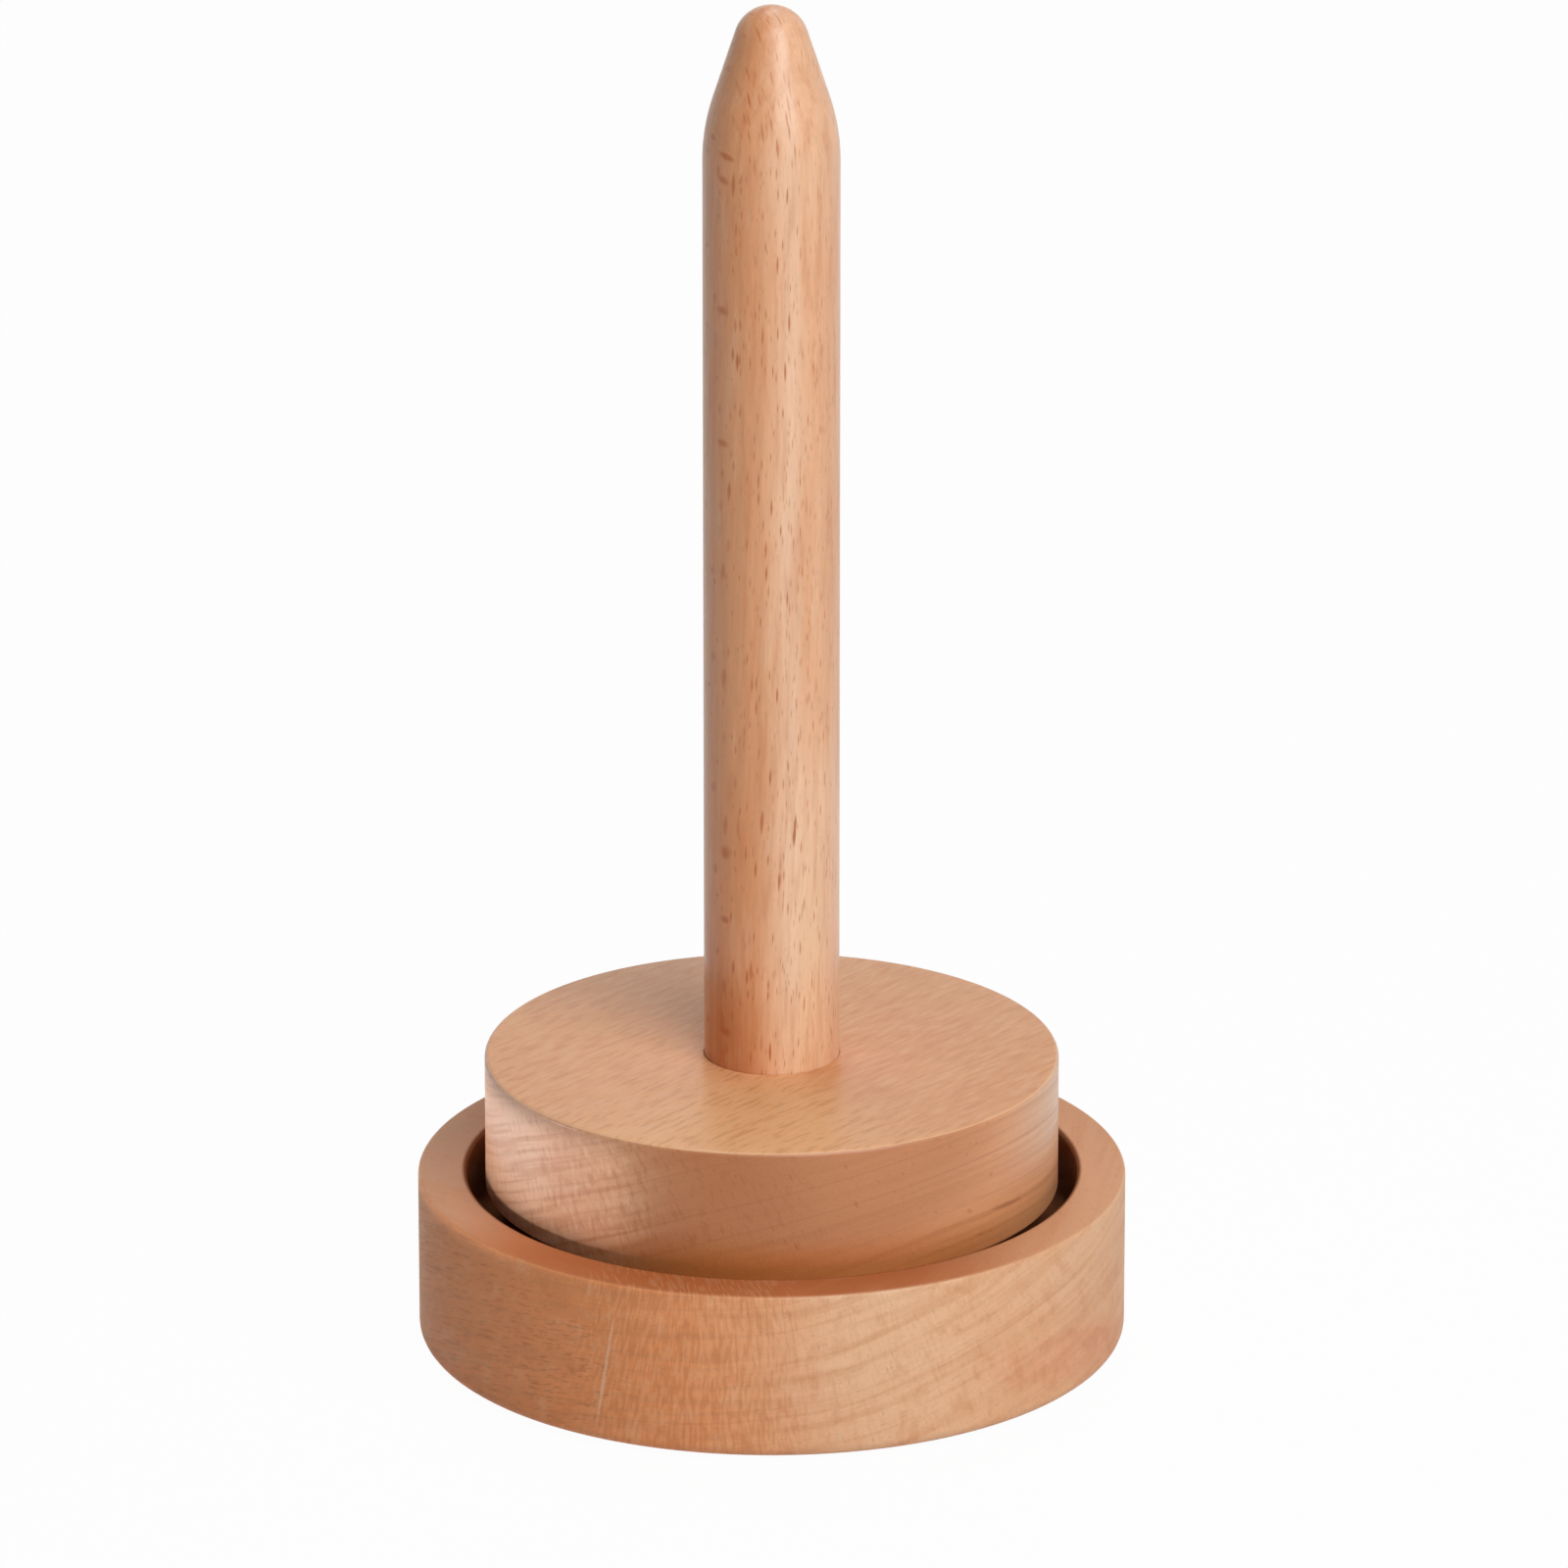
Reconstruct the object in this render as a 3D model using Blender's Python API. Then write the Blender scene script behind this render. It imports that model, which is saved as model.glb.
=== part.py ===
# Yarn ball holder. A beech spindle stands on a turntable that spins on a ball bearing inside a beech tray.
# Metres, +Z up. The origin lies on the table, under the middle of the foot pad.

import math

import bmesh
import bpy
from mathutils import Matrix

# Overall sizes
TOTAL_HEIGHT = 0.205
BASE_DIAMETER = 0.105
RIM_RISE = 0.0107
RIM_WALL = 0.0072
TRAY_GAP = 0.0028
TURNTABLE_THICKNESS = 0.0277
ROD_DIAMETER = 0.020

# Gaps between neighbouring pieces
SEAT_GAP = 0.0003
PRESS_GAP = 0.00015
RUNNING_GAP = 0.0001

# Foot pad, let into the underside of the tray
PAD_MARGIN = 0.0065
PAD_THICKNESS = 0.002
PAD_PROUD = 0.0008
PAD_EDGE_ROUND = 0.0004

# Tray
TRAY_BOTTOM_ROUND = 0.002
RIM_EDGE_ROUND = 0.0006
TRAY_CORNER_FILLET = 0.0015
BEARING_SHOULDER = 0.0022

# Turntable disc. A boss under its middle carries it, so that its outer part hangs clear of the tray
DISC_EDGE_ROUND = 0.0006
BOSS_RADIUS = 0.018
BOSS_HEIGHT = 0.0074
BOSS_FILLET = 0.0015
ROD_SOCKET_DEPTH = 0.003

# Spindle rod
TIP_DOME_RADIUS = 0.0055
TIP_SHOULDER_RADIUS = 0.030
TIP_CONE_DEGREES = 18.2
ROD_FOOT_CHAMFER = 0.0003

# Deep groove ball bearing with two steel shields and a one-piece crown cage
BEARING_BORE = 0.008
RING_WALL = 0.001515
RING_CHAMFER = 0.0003
LAND_TO_PITCH = 0.00145
BALL_DIAMETER = 0.00397
BALL_COUNT = 7
SHIELD_THICKNESS = 0.0004
SHIELD_SETBACK = 0.0003
SHIELD_RIM_WALL = 0.0014
SHIELD_RUNNING_GAP = 0.0003
CAGE_LAND_GAP = 0.0004
CAGE_POCKET_GAP = 0.0002
CAGE_WEB = 0.0003
CAGE_SHIELD_GAP = 0.000315
CAGE_PRONG_RISE = 0.0012

# Pivot bolt with a button head and a hexagon socket
BOLT_HEAD_OVERHANG = 0.00315
BOLT_HEAD_HEIGHT = 0.0044
BOLT_FACE_RIM = 0.001
BOLT_HEAD_EDGE = 0.0008
BOLT_SOCKET_FLATS = 0.005
BOLT_SOCKET_DEPTH = 0.0026
BOLT_END_CHAMFER = 0.0008
BOLT_HEAD_CLEARANCE = 0.0005
BOLT_END_CLEARANCE = 0.0016

# Washers on each side of the inner ring
WASHER_SETBACK = 0.00025
WASHER_THICKNESS = 0.001

# Barbed brass inserts pressed into the turntable disc
PIVOT_INSERT_WALL = 0.002
PIVOT_INSERT_LENGTH = 0.012
ROD_INSERT_WALL = 0.00185
ROD_INSERT_LENGTH = 0.008
BARB_DEPTH = 0.0005
BARB_PITCH = 0.002

# Stud with a machine thread below and a wood thread above, which holds the rod
STUD_DIAMETER = 0.006
STUD_LOWER_CLEARANCE = 0.0008
STUD_UPPER_LENGTH = 0.025
STUD_END_CHAMFER = 0.0006
STUD_POINT_LENGTH = 0.004

# One overrun serves every cutter
CUT_OVERRUN = 0.001

# Facets round each turned piece, and steps along each arc
WOOD_FACETS = 64
ROD_FACETS = 40
RING_FACETS = 36
INSERT_FACETS = 24
BALL_FACETS = 14
BALL_RINGS = 7
POCKET_FACETS = 16
POCKET_RINGS = 10
EDGE_STEPS = 3
SHOULDER_STEPS = 4
DOME_STEPS = 6
GROOVE_STEPS = 6
HEAD_STEPS = 4

# The bearing is as wide as its balls, its cage and its two shields need
SHIELD_SPACE = SHIELD_SETBACK + SHIELD_THICKNESS + CAGE_SHIELD_GAP
BEARING_WIDTH = BALL_DIAMETER + 2 * (CAGE_POCKET_GAP + CAGE_WEB + SHIELD_SPACE)

# Heights, from the table up
TRAY_UNDERSIDE = PAD_PROUD
RECESS_ROOF = PAD_THICKNESS + SEAT_GAP
BOLT_BOTTOM = RECESS_ROOF + BOLT_HEAD_CLEARANCE
HEAD_WASHER_BOTTOM = BOLT_BOTTOM + BOLT_HEAD_HEIGHT + PRESS_GAP
BEARING_BOTTOM = HEAD_WASHER_BOTTOM + WASHER_THICKNESS + PRESS_GAP
TRAY_FLOOR = BEARING_BOTTOM + BEARING_WIDTH
SPACER_BOTTOM = TRAY_FLOOR + PRESS_GAP
DISC_UNDERSIDE = SPACER_BOTTOM + WASHER_THICKNESS + PRESS_GAP
DISC_TOP = DISC_UNDERSIDE + TURNTABLE_THICKNESS
SOCKET_FLOOR = DISC_TOP - ROD_SOCKET_DEPTH
ROD_FOOT = SOCKET_FLOOR + SEAT_GAP
RIM_TOP = TRAY_FLOOR + RIM_RISE
BOLT_TOP = DISC_UNDERSIDE + PIVOT_INSERT_LENGTH - BOLT_END_CLEARANCE

# Radii that several pieces share
TRAY_RADIUS = BASE_DIAMETER / 2
TRAY_INNER_RADIUS = TRAY_RADIUS - RIM_WALL
TURNTABLE_RADIUS = TRAY_INNER_RADIUS - TRAY_GAP
PAD_RADIUS = TRAY_RADIUS - PAD_MARGIN
BOLT_RADIUS = BEARING_BORE / 2 - PRESS_GAP
STUD_RADIUS = STUD_DIAMETER / 2
BALL_RADIUS = BALL_DIAMETER / 2
PITCH_RADIUS = BEARING_BORE / 2 + RING_WALL + BALL_RADIUS
BEARING_RADIUS = PITCH_RADIUS + BALL_RADIUS + RING_WALL
GROOVE_RADIUS = BALL_RADIUS + RUNNING_GAP
INNER_LAND = PITCH_RADIUS - LAND_TO_PITCH
OUTER_LAND = PITCH_RADIUS + LAND_TO_PITCH
SHIELD_SEAT = BEARING_RADIUS - SHIELD_RIM_WALL
BOLT_HOLE = BOLT_RADIUS + PRESS_GAP
STUD_HOLE = STUD_RADIUS + PRESS_GAP
PIVOT_INSERT_RADIUS = BOLT_HOLE + PIVOT_INSERT_WALL
ROD_INSERT_RADIUS = STUD_HOLE + ROD_INSERT_WALL
BEARING_MIDDLE = BEARING_WIDTH / 2
HALF_TURN = math.pi
QUARTER_TURN = math.pi / 2
FULL_TURN = 2 * math.pi
WELD_DISTANCE = 1e-6

# Colours of the real surfaces, as sRGB hex
BEECH_TRAY = "#C98F66"
BEECH_DISC = "#D29E78"
BEECH_ROD = "#D9A880"
BEARING_STEEL = "#B9BBBE"
ZINC_STEEL = "#A9ACB0"
BRASS = "#B8934F"
NYLON = "#E4DDCB"
PAD_BLACK = "#262524"


def linear(channel):
    """One sRGB channel, 0 to 1, as linear light."""
    if channel <= 0.04045:
        return channel / 12.92
    return ((channel + 0.055) / 1.055) ** 2.4


def surface(name, colour, roughness, metallic=0.0):
    """A Principled BSDF material in an sRGB hex colour."""
    rgb = [linear(int(colour[i : i + 2], 16) / 255) for i in (1, 3, 5)]
    material = bpy.data.materials.new(name)
    material.use_nodes = True
    shader = material.node_tree.nodes["Principled BSDF"]
    shader.inputs["Base Color"].default_value = (*rgb, 1)
    shader.inputs["Roughness"].default_value = roughness
    shader.inputs["Metallic"].default_value = metallic
    return material


def arc(centre_r, centre_z, radius, start, end, steps):
    """Points on an arc in the half plane of radius and height, from one angle to another."""
    angles = [start + (end - start) * i / steps for i in range(steps + 1)]
    return [(centre_r + radius * math.cos(a), centre_z + radius * math.sin(a)) for a in angles]


def corner(r, z, round_radius, start, end):
    """A rounded corner at (r, z). Its arc runs from angle start to angle end."""
    side_r = math.copysign(1, math.cos((start + end) / 2))
    side_z = math.copysign(1, math.sin((start + end) / 2))
    return arc(r - side_r * round_radius, z - side_z * round_radius, round_radius, start, end, EDGE_STEPS)


def finish_mesh(obj):
    """Gives a round piece smooth faces and sharp edges."""
    obj.data.shade_smooth()
    obj.data.set_sharp_from_angle(angle=math.radians(30))


def turned(name, outline, facets, material, height=0.0, parent=None, hollow=False):
    """A piece turned about Z. The outline is (radius, height) points; a hollow one closes on itself."""
    mesh = bpy.data.meshes.new(name)
    bm = bmesh.new()
    points = [bm.verts.new((r, 0, z)) for r, z in outline]
    chain = list(zip(points, points[1:]))
    if hollow:
        chain.append((points[-1], points[0]))
    edges = [bm.edges.new(pair) for pair in chain]
    bmesh.ops.spin(
        bm,
        geom=points + edges,
        cent=(0, 0, 0),
        axis=(0, 0, 1),
        angle=FULL_TURN,
        steps=facets,
        use_merge=True,
    )
    bmesh.ops.remove_doubles(bm, verts=bm.verts[:], dist=WELD_DISTANCE)
    bmesh.ops.recalc_face_normals(bm, faces=bm.faces[:])
    bm.to_mesh(mesh)
    bm.free()
    obj = bpy.data.objects.new(name, mesh)
    bpy.context.scene.collection.objects.link(obj)
    mesh.materials.append(material)
    obj.location.z = height
    obj.parent = parent
    finish_mesh(obj)
    return obj


def joint_empty(name, height):
    """An empty on the spin axis, which carries what turns together."""
    empty = bpy.data.objects.new(name, None)
    bpy.context.scene.collection.objects.link(empty)
    empty.location.z = height
    return empty


def cut(obj, cutter):
    """Takes the cutter out of obj, and keeps the cutter as a hidden helper."""
    cutter.hide_render = True
    cutter.display_type = "WIRE"
    boolean = obj.modifiers.new("cut_" + cutter.name, "BOOLEAN")
    boolean.operation = "DIFFERENCE"
    boolean.solver = "EXACT"
    boolean.object = cutter


def helper(name, bm, height, parent=None):
    """A cutter made from a bmesh."""
    mesh = bpy.data.meshes.new(name)
    bmesh.ops.recalc_face_normals(bm, faces=bm.faces[:])
    bm.to_mesh(mesh)
    bm.free()
    obj = bpy.data.objects.new(name, mesh)
    bpy.context.scene.collection.objects.link(obj)
    obj.location.z = height
    obj.parent = parent
    return obj


def foot_pad(material):
    """The thin foam disc under the tray."""
    outline = [(0, 0)]
    outline += corner(PAD_RADIUS, 0, PAD_EDGE_ROUND, -QUARTER_TURN, 0)
    outline += [(PAD_RADIUS, PAD_THICKNESS), (0, PAD_THICKNESS)]
    return turned("anti_slip_pad", outline, WOOD_FACETS, material)


def tray(material):
    """The turned tray: a rim, a thick floor, the bearing's seat and the chamber for the bolt's head."""
    seat = BEARING_RADIUS + PRESS_GAP
    chamber = seat - BEARING_SHOULDER
    recess = PAD_RADIUS + SEAT_GAP
    floor = TRAY_FLOOR - TRAY_UNDERSIDE
    roof = RECESS_ROOF - TRAY_UNDERSIDE
    shoulder = BEARING_BOTTOM - PRESS_GAP - TRAY_UNDERSIDE
    rim = RIM_TOP - TRAY_UNDERSIDE
    fillet_r = TRAY_INNER_RADIUS - TRAY_CORNER_FILLET
    fillet_z = floor + TRAY_CORNER_FILLET
    outline = [(chamber, roof), (chamber, shoulder), (seat, shoulder), (seat, floor)]
    outline += arc(fillet_r, fillet_z, TRAY_CORNER_FILLET, -QUARTER_TURN, 0, EDGE_STEPS)
    outline += corner(TRAY_INNER_RADIUS, rim, RIM_EDGE_ROUND, HALF_TURN, QUARTER_TURN)
    outline += corner(TRAY_RADIUS, rim, RIM_EDGE_ROUND, QUARTER_TURN, 0)
    outline += corner(TRAY_RADIUS, 0, TRAY_BOTTOM_ROUND, 0, -QUARTER_TURN)
    outline += [(recess, 0), (recess, roof)]
    return turned("base_tray", outline, WOOD_FACETS, material, TRAY_UNDERSIDE, hollow=True)


def turntable_disc(material, parent):
    """The disc that spins in the tray, with a boss below, bored for two inserts and for the rod's foot."""
    lower_bore = PIVOT_INSERT_RADIUS + PRESS_GAP
    lower_depth = PIVOT_INSERT_LENGTH + PRESS_GAP
    socket = ROD_DIAMETER / 2 + SEAT_GAP
    upper_bore = ROD_INSERT_RADIUS + PRESS_GAP
    socket_floor = TURNTABLE_THICKNESS - ROD_SOCKET_DEPTH
    upper_floor = socket_floor - ROD_INSERT_LENGTH - PRESS_GAP
    fillet_r = BOSS_RADIUS + BOSS_FILLET
    fillet_z = BOSS_HEIGHT - BOSS_FILLET
    outline = [(0, lower_depth), (lower_bore, lower_depth), (lower_bore, 0)]
    outline += corner(BOSS_RADIUS, 0, DISC_EDGE_ROUND, -QUARTER_TURN, 0)
    outline += arc(fillet_r, fillet_z, BOSS_FILLET, HALF_TURN, QUARTER_TURN, EDGE_STEPS)
    outline += corner(TURNTABLE_RADIUS, BOSS_HEIGHT, DISC_EDGE_ROUND, -QUARTER_TURN, 0)
    outline += corner(TURNTABLE_RADIUS, TURNTABLE_THICKNESS, DISC_EDGE_ROUND, 0, QUARTER_TURN)
    outline += [(socket, TURNTABLE_THICKNESS), (socket, socket_floor), (upper_bore, socket_floor)]
    outline += [(upper_bore, upper_floor), (0, upper_floor)]
    disc = turned("turntable_disc", outline, WOOD_FACETS, material, parent=parent)
    disc.location.z = DISC_UNDERSIDE - BEARING_BOTTOM
    return disc


def spindle_rod(material, parent):
    """The dowel: a cylinder, a shoulder curve, a straight cone and a domed tip, with a hole for the stud."""
    radius = ROD_DIAMETER / 2
    length = TOTAL_HEIGHT - ROD_FOOT
    hole_depth = STUD_UPPER_LENGTH + PRESS_GAP
    slope = math.radians(TIP_CONE_DEGREES)
    dome_z = length - TIP_DOME_RADIUS
    cone_top_r = TIP_DOME_RADIUS * math.cos(slope)
    cone_top_z = dome_z + TIP_DOME_RADIUS * math.sin(slope)
    shoulder_r = radius - TIP_SHOULDER_RADIUS
    cone_foot_r = shoulder_r + TIP_SHOULDER_RADIUS * math.cos(slope)
    cone_foot_z = cone_top_z - (cone_foot_r - cone_top_r) / math.tan(slope)
    shoulder_z = cone_foot_z - TIP_SHOULDER_RADIUS * math.sin(slope)
    outline = [(0, hole_depth), (STUD_HOLE, hole_depth - STUD_POINT_LENGTH), (STUD_HOLE, 0)]
    outline += [(radius - ROD_FOOT_CHAMFER, 0), (radius, ROD_FOOT_CHAMFER)]
    outline += arc(shoulder_r, shoulder_z, TIP_SHOULDER_RADIUS, 0, slope, SHOULDER_STEPS)
    outline += arc(0, dome_z, TIP_DOME_RADIUS, slope, QUARTER_TURN, DOME_STEPS)[:-1]
    outline += [(0, length)]
    return turned("spindle_rod", outline, ROD_FACETS, material, ROD_FOOT - BEARING_BOTTOM, parent)


def groove(middle):
    """A ring's groove, from its lower lip to its upper lip. Middle is the direction from ball to ring."""
    reach = math.acos(LAND_TO_PITCH / GROOVE_RADIUS)
    if middle > 0:
        reach = -reach
    return arc(PITCH_RADIUS, BEARING_MIDDLE, GROOVE_RADIUS, middle - reach, middle + reach, GROOVE_STEPS)


def outer_ring(material):
    """The bearing's fixed ring, with a recess at each face for a shield."""
    edge = BEARING_RADIUS - RING_CHAMFER
    low = SHIELD_SETBACK + SHIELD_THICKNESS + PRESS_GAP
    high = BEARING_WIDTH - low
    outline = [(edge, 0), (SHIELD_SEAT, 0), (SHIELD_SEAT, low), (OUTER_LAND, low)]
    outline += groove(0)
    outline += [(OUTER_LAND, high), (SHIELD_SEAT, high), (SHIELD_SEAT, BEARING_WIDTH)]
    outline += [(edge, BEARING_WIDTH), (BEARING_RADIUS, BEARING_WIDTH - RING_CHAMFER)]
    outline += [(BEARING_RADIUS, RING_CHAMFER)]
    return turned("bearing_outer_ring", outline, RING_FACETS, material, BEARING_BOTTOM, hollow=True)


def inner_ring(material, parent):
    """The bearing's turning ring, clamped between the two washers."""
    bore = BEARING_BORE / 2
    edge = bore + RING_CHAMFER
    outline = [(bore, RING_CHAMFER), (edge, 0), (INNER_LAND, 0)]
    outline += groove(HALF_TURN)
    outline += [(INNER_LAND, BEARING_WIDTH), (edge, BEARING_WIDTH), (bore, BEARING_WIDTH - RING_CHAMFER)]
    return turned("bearing_inner_ring", outline, RING_FACETS, material, parent=parent, hollow=True)


def shield(name, material, height):
    """One thin steel shield, seated in the outer ring and clear of the inner ring."""
    inner = INNER_LAND + SHIELD_RUNNING_GAP
    outer = SHIELD_SEAT - PRESS_GAP
    outline = [(inner, 0), (outer, 0), (outer, SHIELD_THICKNESS), (inner, SHIELD_THICKNESS)]
    return turned(name, outline, RING_FACETS, material, height, hollow=True)


def ball_positions():
    """The angles of the balls round the pitch circle."""
    return [FULL_TURN * i / BALL_COUNT for i in range(BALL_COUNT)]


def balls(material, parent):
    """The steel balls, each its own piece, all sharing one mesh."""
    mesh = bpy.data.meshes.new("bearing_ball")
    bm = bmesh.new()
    bmesh.ops.create_uvsphere(bm, u_segments=BALL_FACETS, v_segments=BALL_RINGS, radius=BALL_RADIUS)
    bm.to_mesh(mesh)
    bm.free()
    mesh.materials.append(material)
    mesh.shade_smooth()
    made = []
    for number, angle in enumerate(ball_positions(), start=1):
        ball = bpy.data.objects.new(f"bearing_ball_{number}", mesh)
        bpy.context.scene.collection.objects.link(ball)
        ball.location = (PITCH_RADIUS * math.cos(angle), PITCH_RADIUS * math.sin(angle), BEARING_MIDDLE)
        ball.parent = parent
        made.append(ball)
    return made


def cage(material, parent):
    """The crown cage: one ring with an open spherical pocket for each ball."""
    inner = INNER_LAND + CAGE_LAND_GAP
    outer = OUTER_LAND - CAGE_LAND_GAP
    pocket = BALL_RADIUS + CAGE_POCKET_GAP
    bottom = BEARING_MIDDLE - pocket - CAGE_WEB
    top = BEARING_MIDDLE + CAGE_PRONG_RISE
    outline = [(inner, bottom), (outer, bottom), (outer, top), (inner, top)]
    crown = turned("bearing_cage", outline, 4 * BALL_COUNT, material, parent=parent, hollow=True)
    bm = bmesh.new()
    for angle in ball_positions():
        place = Matrix.Rotation(angle, 4, "Z") @ Matrix.Translation((PITCH_RADIUS, 0, BEARING_MIDDLE))
        bmesh.ops.create_uvsphere(
            bm, u_segments=POCKET_FACETS, v_segments=POCKET_RINGS, radius=pocket, matrix=place
        )
    cut(crown, helper("pocket_cutter", bm, 0, parent))
    return crown


def pivot_bolt(material, parent):
    """The button-head bolt, head down, that clamps the inner ring to the turntable."""
    head = BOLT_RADIUS + BOLT_HEAD_OVERHANG
    corner_radius = BOLT_SOCKET_FLATS / math.sqrt(3)
    face = corner_radius + BOLT_FACE_RIM
    dome = BOLT_HEAD_HEIGHT - BOLT_HEAD_EDGE
    end = BOLT_TOP - BOLT_BOTTOM
    outline = [(0, 0)]
    for i in range(HEAD_STEPS + 1):
        angle = QUARTER_TURN * i / HEAD_STEPS
        outline.append((face + (head - face) * math.sin(angle), dome * (1 - math.cos(angle))))
    outline += [(head, BOLT_HEAD_HEIGHT), (BOLT_RADIUS, BOLT_HEAD_HEIGHT)]
    outline += [(BOLT_RADIUS, end - BOLT_END_CHAMFER), (BOLT_RADIUS - BOLT_END_CHAMFER, end), (0, end)]
    bolt = turned("pivot_bolt", outline, RING_FACETS, material, BOLT_BOTTOM - BEARING_BOTTOM, parent)
    bm = bmesh.new()
    bmesh.ops.create_cone(
        bm,
        cap_ends=True,
        segments=6,
        radius1=corner_radius,
        radius2=corner_radius,
        depth=BOLT_SOCKET_DEPTH + CUT_OVERRUN,
        matrix=Matrix.Translation((0, 0, (BOLT_SOCKET_DEPTH - CUT_OVERRUN) / 2)),
    )
    cut(bolt, helper("socket_cutter", bm, BOLT_BOTTOM - BEARING_BOTTOM, parent))
    return bolt


def washer(name, material, height, parent):
    """A thin washer that bears on the inner ring only."""
    outer = INNER_LAND - WASHER_SETBACK
    outline = [(BOLT_HOLE, 0), (outer, 0), (outer, WASHER_THICKNESS), (BOLT_HOLE, WASHER_THICKNESS)]
    return turned(name, outline, RING_FACETS, material, height - BEARING_BOTTOM, parent, hollow=True)


def insert(name, bore, crest, length, material, height, parent):
    """A brass insert with a plain bore for a thread, and barbs round its outside."""
    root = crest - BARB_DEPTH
    count = max(1, int(length / BARB_PITCH))
    step = length / count
    outline = [(bore, length), (bore, 0), (root, 0)]
    for i in range(count):
        outline += [(crest, step * (i + 1) - BARB_DEPTH), (crest, step * (i + 1))]
        if i < count - 1:
            outline.append((root, step * (i + 1)))
    return turned(name, outline, INSERT_FACETS, material, height - BEARING_BOTTOM, parent, hollow=True)


def pivot_insert(material, parent):
    """The lower insert, flush with the disc's underside."""
    size = (BOLT_HOLE, PIVOT_INSERT_RADIUS, PIVOT_INSERT_LENGTH)
    return insert("pivot_insert", *size, material, DISC_UNDERSIDE, parent)


def rod_insert(material, parent):
    """The upper insert, flush with the floor of the rod's socket."""
    size = (STUD_HOLE, ROD_INSERT_RADIUS, ROD_INSERT_LENGTH)
    return insert("rod_insert", *size, material, SOCKET_FLOOR - ROD_INSERT_LENGTH, parent)


def rod_stud(material, parent):
    """The double-ended stud: its lower end sits in the disc's insert and its pointed end in the rod."""
    low = STUD_LOWER_CLEARANCE - ROD_INSERT_LENGTH
    high = STUD_UPPER_LENGTH - PRESS_GAP
    outline = [(0, low), (STUD_RADIUS - STUD_END_CHAMFER, low), (STUD_RADIUS, low + STUD_END_CHAMFER)]
    outline += [(STUD_RADIUS, high - STUD_POINT_LENGTH), (0, high)]
    return turned("rod_stud", outline, INSERT_FACETS, material, ROD_FOOT - BEARING_BOTTOM, parent)


def build():
    for obj in list(bpy.data.objects):
        bpy.data.objects.remove(obj)
    beech_tray = surface("beech_tray", BEECH_TRAY, 0.55)
    beech_disc = surface("beech_disc", BEECH_DISC, 0.5)
    beech_rod = surface("beech_rod", BEECH_ROD, 0.5)
    steel = surface("bearing_steel", BEARING_STEEL, 0.22, 1.0)
    zinc = surface("zinc_steel", ZINC_STEEL, 0.38, 1.0)
    brass = surface("brass", BRASS, 0.35, 1.0)
    nylon = surface("nylon", NYLON, 0.5)
    foam = surface("foam_black", PAD_BLACK, 0.9)

    # The spin axis, at the bearing's lower face. The balls orbit about their own empty, at a slower rate.
    turntable = joint_empty("turntable_axis", BEARING_BOTTOM)
    orbit = joint_empty("ball_orbit_axis", BEARING_BOTTOM)

    foot_pad(foam)
    tray(beech_tray)
    outer_ring(steel)
    shield("bearing_shield_lower", zinc, BEARING_BOTTOM + SHIELD_SETBACK)
    shield("bearing_shield_upper", zinc, TRAY_FLOOR - SHIELD_SETBACK - SHIELD_THICKNESS)

    cage(nylon, orbit)
    balls(steel, orbit)

    inner_ring(steel, turntable)
    pivot_bolt(zinc, turntable)
    washer("head_washer", zinc, HEAD_WASHER_BOTTOM, turntable)
    washer("spacer_washer", zinc, SPACER_BOTTOM, turntable)
    turntable_disc(beech_disc, turntable)
    pivot_insert(brass, turntable)
    rod_insert(brass, turntable)
    rod_stud(zinc, turntable)
    spindle_rod(beech_rod, turntable)


build()
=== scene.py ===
import math
from functools import partial

import bmesh
import bpy
from mathutils import Matrix, Vector


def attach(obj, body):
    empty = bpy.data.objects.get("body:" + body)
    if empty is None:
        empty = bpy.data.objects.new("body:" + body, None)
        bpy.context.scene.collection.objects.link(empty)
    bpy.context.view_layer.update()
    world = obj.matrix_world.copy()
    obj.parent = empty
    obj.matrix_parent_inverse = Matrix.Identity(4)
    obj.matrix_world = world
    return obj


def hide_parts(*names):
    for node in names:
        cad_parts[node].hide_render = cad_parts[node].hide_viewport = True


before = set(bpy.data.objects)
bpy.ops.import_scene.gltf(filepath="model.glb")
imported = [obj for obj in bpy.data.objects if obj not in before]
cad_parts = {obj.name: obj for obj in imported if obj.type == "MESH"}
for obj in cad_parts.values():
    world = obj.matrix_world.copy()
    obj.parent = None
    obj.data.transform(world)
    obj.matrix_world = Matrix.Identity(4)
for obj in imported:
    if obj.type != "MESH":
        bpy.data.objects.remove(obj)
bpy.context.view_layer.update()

mm = 0.001
mmPerMetre = 1000
mergeGap = 0.002 * mm  # points closer than this become one
sharpCorner = math.radians(35)  # a corner that turns further stays sharp

# heights of the parts in the stack, in mm up from the table
stack = {
    "trayBottom": 0.8,
    "recessRoof": 2.3,
    "boltBottom": 2.8,
    "boltHeadTop": 7.2,
    "headWasher": 7.35,
    "seatShoulder": 8.35,
    "bearing": 8.5,
    "trayFloor": 15.5,
    "spacerWasher": 15.65,
    "discBottom": 16.8,
    "discEdgeBottom": 24.2,
    "rimTop": 26.2,
    "boltTop": 27.2,
    "pivotInsertTop": 28.8,
    "rodInsertBottom": 33.5,
    "socketFloor": 41.5,
    "rodFoot": 41.8,
    "discTop": 44.5,
    "rodTip": 205,
}

# the node types and settings used most
maths = "ShaderNodeMath"
vectors = "ShaderNodeVectorMath"
remap = "ShaderNodeMapRange"
mix = "ShaderNodeMix"
noise = "ShaderNodeTexNoise"
times = {"operation": "MULTIPLY"}
timesPlus = {"operation": "MULTIPLY_ADD"}
smoothly = {"interpolation_type": "SMOOTHSTEP"}


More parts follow.
